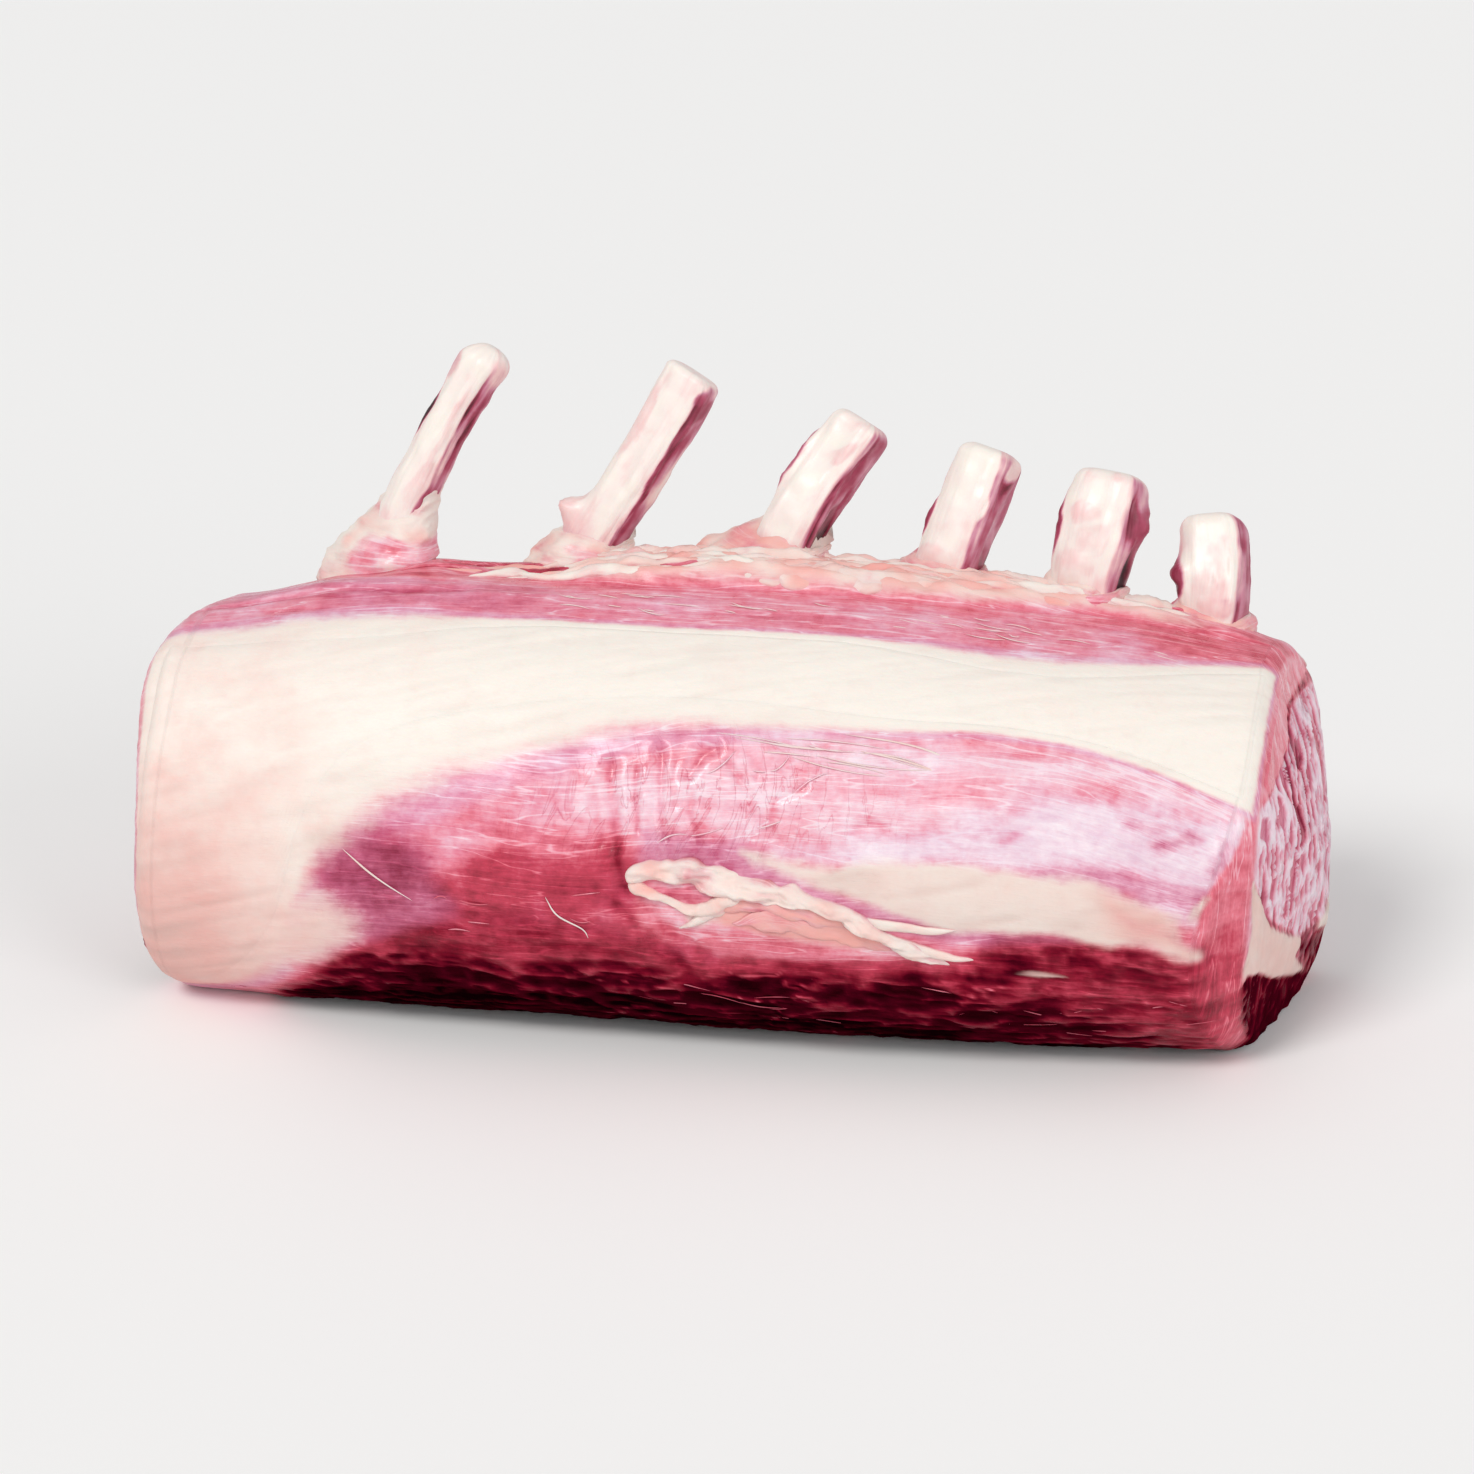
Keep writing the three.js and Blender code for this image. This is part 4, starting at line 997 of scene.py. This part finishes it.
def grainOf(points, around, rows):
    # surface coordinates in cm: u runs along the fibres and v across them
    s = around * girth
    x = points[..., 0]
    follow = smooth(0.22, 0.34, around) * smooth(0.47, 0.38, around)
    bow = (curveAt(x, fatLower) - 0.375) * girth * smooth(-40, 0, x)
    u = x - 6 * follow * np.cos((s - 78) / 9) * np.exp(-(((x + 2) / 22) ** 2))
    v = s - follow * bow
    onBack = around > 0.63
    u = np.where(onBack, 0.5 * x + 0.87 * s, u)
    v = np.where(onBack, 0.87 * x - 0.5 * s, v)
    side, turn, share = (rows[:, None, k] for k in (0, 2, 3))
    onCut = (share > 0) | ((side != 0) & (turn > 0.2))
    u = np.where(onCut, points[..., 2] + 300, u)
    v = np.where(onCut, 0.8 * points[..., 1] + 0.6 * x, v)
    return np.stack([u, v], -1) / 10


def makeMeat(values):
    rows = rowTable(*(values[key] for key in ("faceLeft", "rimLeft", "body", "rimRight", "faceRight")))
    around = aroundSamples(values["around"])
    points, inset = bodyGrid(rows, around)
    spread = np.broadcast_to(around[None], points.shape[:2])
    fields = fleshFields(points, spread, rows, inset)
    height, shade = reliefOf(points, spread, rows, fields)
    height -= values["underFat"] * smooth(1.1, 2.2, fields["edge"]) * (rows[:, None, 3] == 0)
    grid = points + normalsOf(points) * height[..., None]
    grid[..., 2] = np.maximum(grid[..., 2], 0)
    wide = np.concatenate([points, points[:, :1]], axis=1)
    grain = grainOf(wide, np.broadcast_to(np.append(around, 1.0)[None], wide.shape[:2]), rows)
    makePiece("loinMeat", [tube(grid, setInto(fields, shade), grain)], meatMaterial, ["meat"])


makeMeat(meatValues)

# the fat cap

capValues = {"rim": 12, "leftTurn": 1.1, "rightTurn": 1.0, "body": 250, "across": 120, "inner": 12,
             "thickness": 2.2, "lift": 0.16, "sunk": 0.45}


def makeFatCap(values):
    # one closed ring per row: across the skin from the lower border to the upper, and back under it
    rows = np.concatenate([
        [(-1, 0, t, 0) for t in np.linspace(values["leftTurn"], 0, values["rim"], endpoint=False)],
        [(0, s, 0, 0) for s in np.linspace(0, 1, values["body"])],
        [(1, 1, t, 0) for t in np.linspace(0, values["rightTurn"], values["rim"])[1:]],
    ])
    out = np.linspace(0, 1, values["across"])
    back = np.linspace(1, 0, values["inner"] + 2)[1:-1]
    w = np.concatenate([out, back])[None, :]
    under = np.concatenate([0 * out, np.sin(np.pi * back) ** 0.5])[None, :]
    x = bodyGrid(rows, 0.4)[0][..., 0]
    for step in range(3):  # the borders lie at places along x, which depends on the place round the section
        around = mix(curveAt(x, fatLower), curveAt(x, fatUpper), w)
        points, inset = bodyGrid(rows, around)
        x = points[..., 0]
    fields = fleshFields(points, around, rows, inset)
    height, shade = reliefOf(points, around, rows, fields)
    height += mix(-values["sunk"], values["lift"], smooth(0.1, 1.9, fields["edge"]))
    height -= under * values["thickness"]
    away = (points - np.array([0, *form["middle"]])) * np.array([0, 1, 1])
    grid = points + away / np.linalg.norm(away, axis=-1, keepdims=True) * height[..., None]
    wide = np.concatenate([points, points[:, :1]], axis=1)
    wideAround = np.concatenate([around, around[:, :1]], axis=1)
    grain = grainOf(wide, wideAround, rows)
    makePiece("fatCap", [tube(grid, setInto(fields, shade), grain)], fatMaterial, ["fat_cap"])


makeFatCap(capValues)


def alongPath(points, shares):
    # Catmull-Rom curve through the points, taken at shares of its length, with its directions
    points = np.array(points, float)
    ends = np.concatenate([[2 * points[0] - points[1]], points, [2 * points[-1] - points[-2]]])
    k = np.linspace(0, len(points) - 1 - 1e-9, 400)
    i = k.astype(int)
    curve = catmullRom(ends, i, (k - i)[:, None])
    length = np.concatenate([[0], np.cumsum(np.linalg.norm(np.diff(curve, axis=0), axis=1))])
    at = np.stack([np.interp(shares * length[-1], length, curve[:, j]) for j in range(3)], -1)
    tangent = np.gradient(curve, axis=0)
    tangent /= np.linalg.norm(tangent, axis=1, keepdims=True)
    tangent = np.stack([np.interp(shares * length[-1], length, tangent[:, j]) for j in range(3)], -1)
    return at, tangent / np.linalg.norm(tangent, axis=1, keepdims=True), length[-1]


def makeRib(number, rib, values):
    run = []
    for share, depth, height in values["run"]:
        x = mix(rib["foot"], rib["exit"], share)
        run.append((x, depth * depthShare(x), height * rib["exitZ"] / 70))
    run.append((rib["tip"], values["tipDepth"], rib["tipZ"]))
    _, _, length = alongPath(run, np.array([0.0]))
    radius = rib["tipRound"]
    bend = np.linspace(0, np.pi / 2, 14)[1:]
    shaft = np.linspace(0, 1 - radius / length, values["rows"])
    shares = np.concatenate([shaft, 1 - radius * (1 - np.sin(bend)) / length])
    centre, tangent, _ = alongPath(run, shares)
    turn = np.radians(values["turn"])
    level = np.array([np.cos(turn), -np.sin(turn), 0])
    across = level - tangent * (tangent @ level)[:, None]
    across /= np.linalg.norm(across, axis=1, keepdims=True)
    through = np.cross(tangent, across)
    bareAt = np.clip((centre[:, 2] - rib["exitZ"]) / (rib["tipZ"] - rib["exitZ"]), 0, 1)
    centre = centre - across * (rib["bow"] * 4 * bareAt * (1 - bareAt))[:, None]
    angle = np.linspace(-np.pi, np.pi, values["sides"], endpoint=False)
    cos, sin = np.cos(angle), np.sin(angle)
    power = 2 / rib["squareness"]
    cross = np.sign(cos) * np.abs(cos) ** power, np.sign(sin) * np.abs(sin) ** power
    missing = np.maximum(0, radius - (1 - shares) * length)
    lost = radius - np.sqrt(np.maximum(0, radius**2 - missing**2)) + rib["waist"] / 2 * np.sin(np.pi * bareAt)
    halfWidth = (rib["width"] / 2 - lost)[:, None]
    halfThick = (rib["thick"] / 2 - lost)[:, None]
    grid = centre[:, None] + across[:, None] * (halfWidth * cross[0])[..., None]
    grid = grid + through[:, None] * (halfThick * cross[1])[..., None]
    bare = (grid[..., 2] - rib["exitZ"]) / (rib["tipZ"] - rib["exitZ"])

    # scraped lengthwise: long low ridges, small lumps, and the marks set out with each bone
    alongBone = shares[:, None] * length
    turned = joined(4.5 * cos, 4.5 * sin, alongBone)
    height = values["lumps"] * noise(grid, (7, 7, 9), 61 + number, 2)
    height += values["scrapes"] * noise(turned, (1.5, 1.5, 12), 71 + number, 2)
    height += values["grit"] * noise(grid, 1.9, 75 + number, 2)
    # stain: bare fronts are clean, the left and back pinker, the right side mauve with darker streaks
    wobble = 9 * noise(turned, (2, 2, 4), 85 + number, 2)
    degrees = np.degrees(angle)[None]
    right = smooth(rib["side"], rib["side"] - 12, np.abs(degrees + 2) + wobble)
    front = smooth(60, 46, np.abs(degrees + 92) + wobble)
    streak = noise(turned, (1.2, 1.2, 10), 81 + number, 3)
    patch = noise(grid, (4, 4, 5), 91 + number, 2)
    stain = values["stain"] + values["patchStain"] * patch - front * values["frontClean"]
    stain = stain + right * (values["sideStain"] + values["sideStreak"] * streak)
    stain = stain + values["rootStain"] * smooth(0.35, 0.0, bare)
    stain = stain + values["fineStain"] * noise(turned, (1.4, 1.4, 14), 87 + number, 2)
    height -= right * values["sideGroove"] * smooth(0.1, 0.5, streak)
    bareLength = np.hypot(rib["tipZ"] - rib["exitZ"], rib["tip"] - rib["exit"])
    for at, where, reachAlong, reachRound, value, rise in rib["marks"]:
        off = (degrees - where + 180) % 360 - 180
        off = np.radians(off) * rib["width"] / 2
        along = (bare - at) * bareLength / reachAlong
        mark = np.exp(-(along**2) - ((off + 0.1 * wobble) / reachRound) ** 2)
        stain = mix(stain, value, smooth(0.25, 0.6, mark))
        height = height + rise * mark * (1 + 0.6 * noise(grid, 2.2, 99 + number, 2))
    cutEnd = smooth(0.25, 0.9, missing / radius)[:, None]
    stain = mix(stain, 0.12 + 0.3 * np.abs(patch), cutEnd * 0.6)
    grid = grid + normalsOf(grid) * (height * smooth(1.0, 0.985, shares)[:, None])[..., None]
    grain = closedGrain(alongBone, 5 * angle[None], turnV=10 * np.pi)
    stain = np.clip(stain, 0, 1)
    makePiece(f"rib{number}", [tube(grid, {"stain": stain}, grain)], boneMaterial, [f"rib_{number}"])


for number, rib in enumerate(ribs, 1):
    makeRib(number, rib, ribValues)

# the tissue round the ribs' roots

collarKeys = ("rise", "flare", "right", "front", "dip", "fat", "blush", "tone", "bare")
collars = [dict(zip(collarKeys, row)) for row in [
    (15.5, 5.6, 3.4, 1.2, 0.15, 1.0, 0.16, 0.8, 1.0),
    (6.0, 3.8, 1.2, 2.2, 0.75, 0.95, 0.4, 0.8, 0.5),
    (7.5, 9.0, 0.6, 2.4, 0.85, 0.85, 0.45, 0.78, 0.25),
    (5.5, 3.0, 0.6, 1.8, 0.85, 0.8, 0.6, 0.78, 0.25),
    (5.0, 1.0, 0.2, 1.8, 0.85, 0.9, 0.35, 0.8, 0.25),
    (5.0, 2.6, 1.2, 2.0, 0.7, 0.7, 0.55, 0.78, 0.25),
]]
collarValues = {"sunk": 6.0, "rows": 54, "sides": 110, "over": 0.4, "under": 1.0, "squareness": 2.7,
                "lumps": 0.8, "folds": 0.6, "rootDepth": 18.0}


def makeCollar(number, rib, collar, values):
    # level rings that dip on the right and spread downwards, mostly to the left, by the square of what is left
    # of the height; the top ring lies inside the bone, so that the tissue thins out on it
    rise = np.linspace(-values["sunk"], collar["rise"], values["rows"])
    climb = rise / (rib["tipZ"] - rib["exitZ"])
    slope = (rib["tip"] - rib["exit"]) / (rib["tipZ"] - rib["exitZ"])
    x = mix(rib["exit"], rib["tip"], climb) - rib["bow"] * 4 * np.clip(climb, 0, 1) * (1 - climb)
    y = mix(values["rootDepth"] * depthShare(x), ribValues["tipDepth"], climb)
    left = np.clip(rise / collar["rise"], 0, 1)
    cover = values["over"] - (values["over"] + values["under"]) * smooth(0.2, 1.0, left)
    angle = np.linspace(-np.pi, np.pi, values["sides"], endpoint=False)
    cos, sin = np.cos(angle), np.sin(angle)
    power = 2 / values["squareness"]
    halfWidth = rib["width"] / 2 * np.hypot(1, slope) + cover
    halfThick = rib["thick"] / 2 + cover
    spread = (1 - left) ** 2
    aside = np.where(cos < 0, collar["flare"], collar["right"]) * np.abs(cos) ** 0.5
    a = halfWidth[:, None] + spread[:, None] * aside
    a = a - 1.3 * smooth(0.2, 0.8, cos) * (1 - spread[:, None])
    b = halfThick[:, None] + spread[:, None] * np.where(sin < 0, 1.0, 0.2) * collar["front"]
    a = a * np.sign(cos) * np.abs(cos) ** power
    b = b * np.sign(sin) * np.abs(sin) ** power
    turn = -np.radians(ribValues["turn"])
    grid = np.stack([
        x[:, None] + a * np.cos(turn) - b * np.sin(turn),
        y[:, None] + a * np.sin(turn) + b * np.cos(turn),
        rib["exitZ"] + rise[:, None] - collar["dip"] * np.maximum(rise, 0)[:, None] * smooth(-0.1, 0.7, cos),
    ], -1)
    # folds that run down and to the left, and lumps
    sheet = joined(5 * angle + 0.9 * rise[:, None], rise[:, None] - 1.6 * angle, 0.0)
    fold = ridged(noise(sheet, (7, 2.4, 1), 121 + number, 3))
    amount = (0.45 + 0.55 * spread)[:, None] * smooth(1.0, 0.8, left)[:, None]
    height = amount * (values["lumps"] * noise(grid, (5, 5, 4), 91 + number, 3) + values["folds"] * fold - 0.1)
    grid = grid + normalsOf(grid) * height[..., None]
    patches = noise(grid, (5, 5, 3), 101 + number, 3)
    left = left[:, None]
    bare = collar["bare"] * smooth(0.36, 0.1, left) * smooth(-0.7, 0.0, cos)
    # the hollows between folds show pinker flesh: partly its own colour, partly painted shade
    fat = np.clip(collar["fat"] + 0.9 * patches - 0.5 * smooth(-0.1, -0.6, fold) - bare, 0, 1)
    blush = collar["blush"] * (1.2 - 0.5 * left) + 0.6 * noise(grid, 4, 111 + number, 2)
    fields = {
        "fat": mix(fat, 1.0, 0.5 * smooth(0.5, 0.9, left)), "blush": np.clip(blush, 0, 1),
        "tone": np.clip(collar["tone"] + 0.2 * patches, 0, 1), "veil": 0.1, "mauve": 0.2, "wrinkle": 0.0,
    }
    grain = closedGrain(8 * angle[None], rise[:, None], turnU=16 * np.pi)
    makePiece(f"collar{number}", [tube(grid, fields, grain)], fatMaterial, [f"collar_{number}"])


for number, (rib, collar) in enumerate(zip(ribs, collars), 1):
    makeCollar(number, rib, collar, collarValues)

# strips of fat and trimmings along the ridge, the flap, and threads of sinew, some of them painted glints

def stripOnSkin(places, halfWidth, thickness, fields, seed, rows=40, sides=18, sunk=0.5, lumps=0.3, blunt=5.0):
    # an oval carried along a line of (x, place round the section) on the skin, thin at both ends, with lumps
    # and uneven edges; the width falls to the ends as the root of 1 - |t| to the power blunt, t from -1 to 1;
    # fields holds (middle, spread) of each colour field
    shares = np.linspace(0, 1, rows)
    line = np.array(places, float)
    steps = np.linspace(0, 1, len(line))
    x = curveAt(shares, np.stack([steps, line[:, 0]], -1))
    around = curveAt(shares, np.stack([steps, line[:, 1]], -1))
    widths = curveAt(shares, np.stack([np.linspace(0, 1, len(halfWidth)), halfWidth], -1))
    body = np.sqrt(np.clip(1 - np.abs(2 * shares - 1) ** blunt, 0.002, 1))
    angle = np.linspace(0, 2 * np.pi, sides, endpoint=False)
    slopeX = np.gradient(x)
    slopeS = np.gradient(around * girth)
    size = np.hypot(slopeX, slopeS)
    edges = joined(x[:, None], 3 * np.cos(angle) + around[:, None] * girth, 0.0)
    ragged = 1 + 0.7 * lumps * noise(edges, (2.4, 3, 1), seed + 1, 2)
    aside = (widths * body)[:, None] * np.cos(angle) * ragged
    px = x[:, None] - aside * (slopeS / size)[:, None]
    pv = around[:, None] + aside * (slopeX / size)[:, None] / girth
    tall = 1.3 * (np.minimum(thickness, 1.5 * widths) * body)[:, None]
    flat = joined(px, pv * girth, 0.0)
    top = smooth(-0.35, 0.6, np.sin(angle))[None]
    run = (shares * np.sum(size))[:, None]
    strand = ridged(noise(joined(run, aside, 0.0), (9, 1.1, 1), seed + 5, 2))
    bulge = (0.5 + 0.5 * np.sin(angle)) * (1 + lumps * noise(flat, (3.4, 1.6, 3), seed, 3))
    bulge = bulge + 0.25 * lumps * strand * top
    lift = 0.9 * curveAt(px, ridge["height"]) * ridgeShare(px, pv) + swellAt(px, pv * girth)
    grid = onSkin(px, pv, tall * (bulge - sunk) + lift)
    grain = closedGrain(run, widths[:, None] * angle, turnV=2 * np.pi * widths[:, None])
    change = noise(flat, (6, 3, 3), seed + 3, 3)
    values = {key: np.clip(value + spread * change, 0, 1) for key, (value, spread) in fields.items()}
    # the thin edges and the gaps between strands let the flesh through
    between = mix(1.0, 0.55 + 0.45 * smooth(-0.1, 0.5, strand), lumps)
    values["fat"] = values["fat"] * mix(0.35, 1.0, top) * between
    # painted shade darkens the strip's underside and the gaps between its strands
    values["tone"] = values["tone"] - 0.2 * (1 - top) - 0.12 * lumps * smooth(0.3, -0.3, strand)
    values["wrinkle"] = 0.0
    return tube(grid, values, grain)


ridgeValues = {
    "count": 58, "seed": 7, "from": -60.0, "to": 86.0, "length": (16, 46), "halfWidth": (0.8, 1.9),
    "thickness": (1.6, 2.8), "redThin": 0.4, "rows": 70, "sides": 16, "lumps": 0.4, "blunt": 2.4,
    "fatFields": {"fat": (0.9, 0.4), "tone": (0.84, 0.16), "veil": (0.1, 0.2), "mauve": (0.1, 0.2)},
    "redFields": {"fat": (0.03, 0.1), "tone": (0.6, 0.16), "veil": (0.1, 0.2), "mauve": (0.1, 0.2)},
}


def makeRidge(values):
    draw = np.random.default_rng(values["seed"])
    strips = []
    for k in range(values["count"]):
        length = draw.uniform(*values["length"])
        x = draw.uniform(values["from"] + length / 2, values["to"] - length / 2)
        foot = float(curveAt(x, ridge["foot"]))
        v = foot + draw.uniform(0.006, 0.07)
        isFat = draw.random() < float(curveAt(x, ridge["fatShare"]))
        places = [(x + t * length, v + draw.uniform(-0.007, 0.007)) for t in (-0.5, -0.3, -0.1, 0.1, 0.3, 0.5)]
        places = [(px, max(pv, float(curveAt(px, ridge["foot"])) + 0.005)) for px, pv in places]
        fields = values["fatFields" if isFat else "redFields"] | {"blush": (draw.uniform(0.1, 0.75), 0.8)}
        wide = draw.uniform(*values["halfWidth"])
        tall = draw.uniform(*values["thickness"]) * (1 if isFat else values["redThin"])
        widths = [wide * draw.uniform(0.4, 1.1) for _ in places]
        strips.append(stripOnSkin(places, widths, tall, fields, 200 + 5 * k, values["rows"], values["sides"],
                                  lumps=values["lumps"], blunt=values["blunt"]))
    makePiece("ridgeTissue", strips, fatMaterial)


makeRidge(ridgeValues)

flapStrips = {
    "roll": {"thickness": 1.9, "fat": 0.76, "blush": 0.12, "rows": 170, "sides": 34, "lumps": 0.7,
        "places": [
            (-10.4, 0.2765), (-8.8, 0.2815), (-4, 0.2845), (1, 0.2835), (6, 0.279), (12, 0.275),
            (19, 0.271), (26, 0.261), (32, 0.2445), (37, 0.2345), (42, 0.2265)],
        "halfWidth": [1.2, 1.8, 1.7, 2.1, 1.8, 1.9, 1.2, 1.3, 1.2, 1.5, 0.8]},
    "lower strand": {"thickness": 1.1, "fat": 0.9, "blush": 0.35, "rows": 90, "sides": 20, "lumps": 0.8,
        "places": [
            (-10, 0.278), (-8.6, 0.272), (-5, 0.2665), (-1, 0.2605), (3, 0.2605), (6, 0.2665), (9, 0.273)],
        "halfWidth": [1.0, 1.1, 0.6, 0.7, 1.4, 1.3, 1.0]},
    "torn tip": {"thickness": 0.8, "fat": 0.85, "blush": 0.2, "rows": 40, "sides": 14, "lumps": 0.5,
        "places": [(5, 0.262), (2.5, 0.2565), (0.3, 0.249), (-2, 0.2435)],
        "halfWidth": [1.0, 1.2, 0.6, 0.25]},
    "fold in the film": {"thickness": 0.6, "fat": 0.72, "blush": 1.0, "rows": 80, "sides": 20, "lumps": 0.9,
        "places": [(3, 0.263), (8, 0.2685), (14, 0.2675), (20, 0.262), (26, 0.2535)],
        "halfWidth": [0.7, 1.8, 1.5, 1.9, 0.8]},
    "lower fold": {"thickness": 0.45, "fat": 0.7, "blush": 1.1, "rows": 80, "sides": 20, "lumps": 0.9,
        "places": [(7, 0.252), (13, 0.256), (20, 0.252), (27, 0.244), (33, 0.2365)],
        "halfWidth": [0.6, 1.8, 1.6, 1.9, 0.8]},
    "whisker": {"thickness": 0.8, "fat": 0.9, "blush": 0.2, "rows": 50, "sides": 12, "lumps": 0.5,
        "places": [(29, 0.252), (35, 0.241), (41, 0.234), (46, 0.232)],
        "halfWidth": [0.4, 1.0, 0.7, 0.3]},
    "upper whisker": {"thickness": 0.6, "fat": 0.9, "blush": 0.1, "rows": 40, "sides": 12, "lumps": 0.5,
        "places": [(27, 0.262), (32, 0.256), (38, 0.254), (43, 0.2555)],
        "halfWidth": [0.3, 1.0, 0.9, 0.3]},
}


def makeFlap(strips):
    parts = []
    for k, strip in enumerate(strips.values()):
        fields = {"fat": (strip["fat"], 0.4), "tone": (0.78, 0.2), "veil": (0.25, 0.3), "mauve": (0.3, 0.3),
                  "blush": (strip["blush"], 0.7)}
        parts.append(stripOnSkin(strip["places"], strip["halfWidth"], strip["thickness"], fields, 401 + 7 * k,
                                 strip["rows"], strip["sides"], lumps=strip["lumps"]))
    makePiece("fatFlap", parts, fatMaterial, ["fat_flap"])


makeFlap(flapStrips)

# threads of sinew and painted glints, short ones strewn over a field and long ones by themselves; middle and
# spread are x in mm
# and the place round the section, and slope is the change of that place in a mm
sinewAndGlintFields = [
    {"middle": (25, 0.497), "spread": (55, 0.014), "length": (1.5, 7), "slope": (-0.0014, 0.0), "count": 34,
     "fat": 0.85, "tone": 0.95, "veil": 0.4},
    {"middle": (40, 0.368), "spread": (34, 0.008), "length": (6, 22), "slope": (-0.0006, -0.0001), "count": 16,
     "fat": 0.7, "tone": 0.95, "veil": 0.4},
    # painted highlights: the pale threads on the dark and red meat, partly fibres
    {"middle": (35, 0.18), "spread": (48, 0.035), "length": (3, 11), "slope": (-0.002, 0.002), "count": 26,
     "fat": 0.0, "tone": 0.6, "veil": 0.1},
    {"middle": (-24, 0.24), "spread": (20, 0.03), "length": (2, 6), "slope": (-0.001, 0.001), "count": 6,
     "fat": 0.0, "tone": 0.7, "veil": 0.1},
    {"middle": (0, 0.33), "spread": (26, 0.03), "length": (2, 6), "slope": (-0.002, 0.004), "count": 8,
     "fat": 0.3, "tone": 0.95, "veil": 0.4},
]
sinewLines = [
    [(-58.5, 0.285), (-53, 0.267), (-46.5, 0.25)],
    [(23, 0.383), (35, 0.378), (46, 0.364), (56, 0.36)],
    [(-24, 0.262), (-22, 0.248), (-18, 0.238), (-17, 0.23)],
    [(26, 0.372), (34, 0.367), (44, 0.356)],
]


sinewAndGlintValues = {
    "seed": 19, "thickness": 0.07,
    "lineWidths": [0.08, 0.16, 0.13, 0.06], "threadWidths": [0.05, 0.12, 0.1, 0.04],
    "white": {"fat": (0.8, 0.2), "tone": (1.0, 0.1), "veil": (0.6, 0.2), "mauve": (0.0, 0.1),
              "blush": (0.3, 0.3)},
}


def makeSinewsAndGlints(values, groups, lines):
    draw = np.random.default_rng(values["seed"])
    white, thickness = values["white"], values["thickness"]
    parts = [stripOnSkin(line, values["lineWidths"], thickness, white, 601, 40, 8, 0.3) for line in lines]
    for group in groups:
        for k in range(group["count"]):
            x = group["middle"][0] + draw.uniform(-1, 1) * group["spread"][0]
            v = group["middle"][1] + draw.uniform(-1, 1) * group["spread"][1]
            length = draw.uniform(*group["length"])
            slope = draw.uniform(*group["slope"])
            bend = draw.uniform(-0.003, 0.003)
            colour = white | {
                "fat": (group["fat"], 0.3), "tone": (group["tone"], 0.1), "veil": (group["veil"], 0.1),
            }
            t = np.array([-0.5, -0.15, 0.2, 0.5])
            line = np.stack([x + t * length, v + t * length * slope + bend * (1 - 4 * t * t)], -1)
            parts.append(stripOnSkin(line, values["threadWidths"], thickness, colour, 611 + k, 12, 6, 0.4))
    makePiece("sinewAndGlintThreads", parts, fatMaterial)


makeSinewsAndGlints(sinewAndGlintValues, sinewAndGlintFields, sinewLines)

# floor and light

studio = {
    "floor": (0.95, 0.95, 0.95), "floorReach": 40.0, "floorRoughness": 0.7,
    "sky": (1.0, 1.0, 1.0), "skyStrength": 0.52,
    "suns": [
        {"name": "key", "from": (-0.5, -0.75, 1.0), "angle": 20, "strength": 1.35,
         "colour": (1.0, 0.985, 0.96)},
        {"name": "fill", "from": (0.9, -0.8, 0.5), "angle": 30, "strength": 0.75, "colour": (1.0, 1.0, 1.0)},
    ],
}


def makeStudio(values):
    world = bpy.data.worlds.new("studio")
    world.use_nodes = True
    world.node_tree.nodes["Background"].inputs[0].default_value = (*values["sky"], 1)
    world.node_tree.nodes["Background"].inputs[1].default_value = values["skyStrength"]
    bpy.context.scene.world = world
    mesh = bpy.data.meshes.new("floor")
    reach = values["floorReach"]
    corners = [(-reach, -reach, 0), (reach, -reach, 0), (reach, reach, 0), (-reach, reach, 0)]
    mesh.from_pydata(corners, [], [(0, 1, 2, 3)])
    floor = bpy.data.objects.new("floor", mesh)
    bpy.context.scene.collection.objects.link(floor)
    material = bpy.data.materials.new("pale floor")
    material.use_nodes = True
    shader = material.node_tree.nodes["Principled BSDF"]
    shader.inputs["Base Color"].default_value = (*values["floor"], 1)
    shader.inputs["Roughness"].default_value = values["floorRoughness"]
    mesh.materials.append(material)
    for sun in values["suns"]:
        light = bpy.data.lights.new(sun["name"], "SUN")
        light.angle = np.radians(sun["angle"])
        light.energy = sun["strength"]
        light.color = sun["colour"]
        thing = bpy.data.objects.new(sun["name"], light)
        thing.location = sun["from"]
        thing.rotation_euler = (-thing.location).to_track_quat("-Z", "Y").to_euler()
        bpy.context.scene.collection.objects.link(thing)
    bpy.context.scene.view_settings.view_transform = "Standard"


makeStudio(studio)
print("studio made")
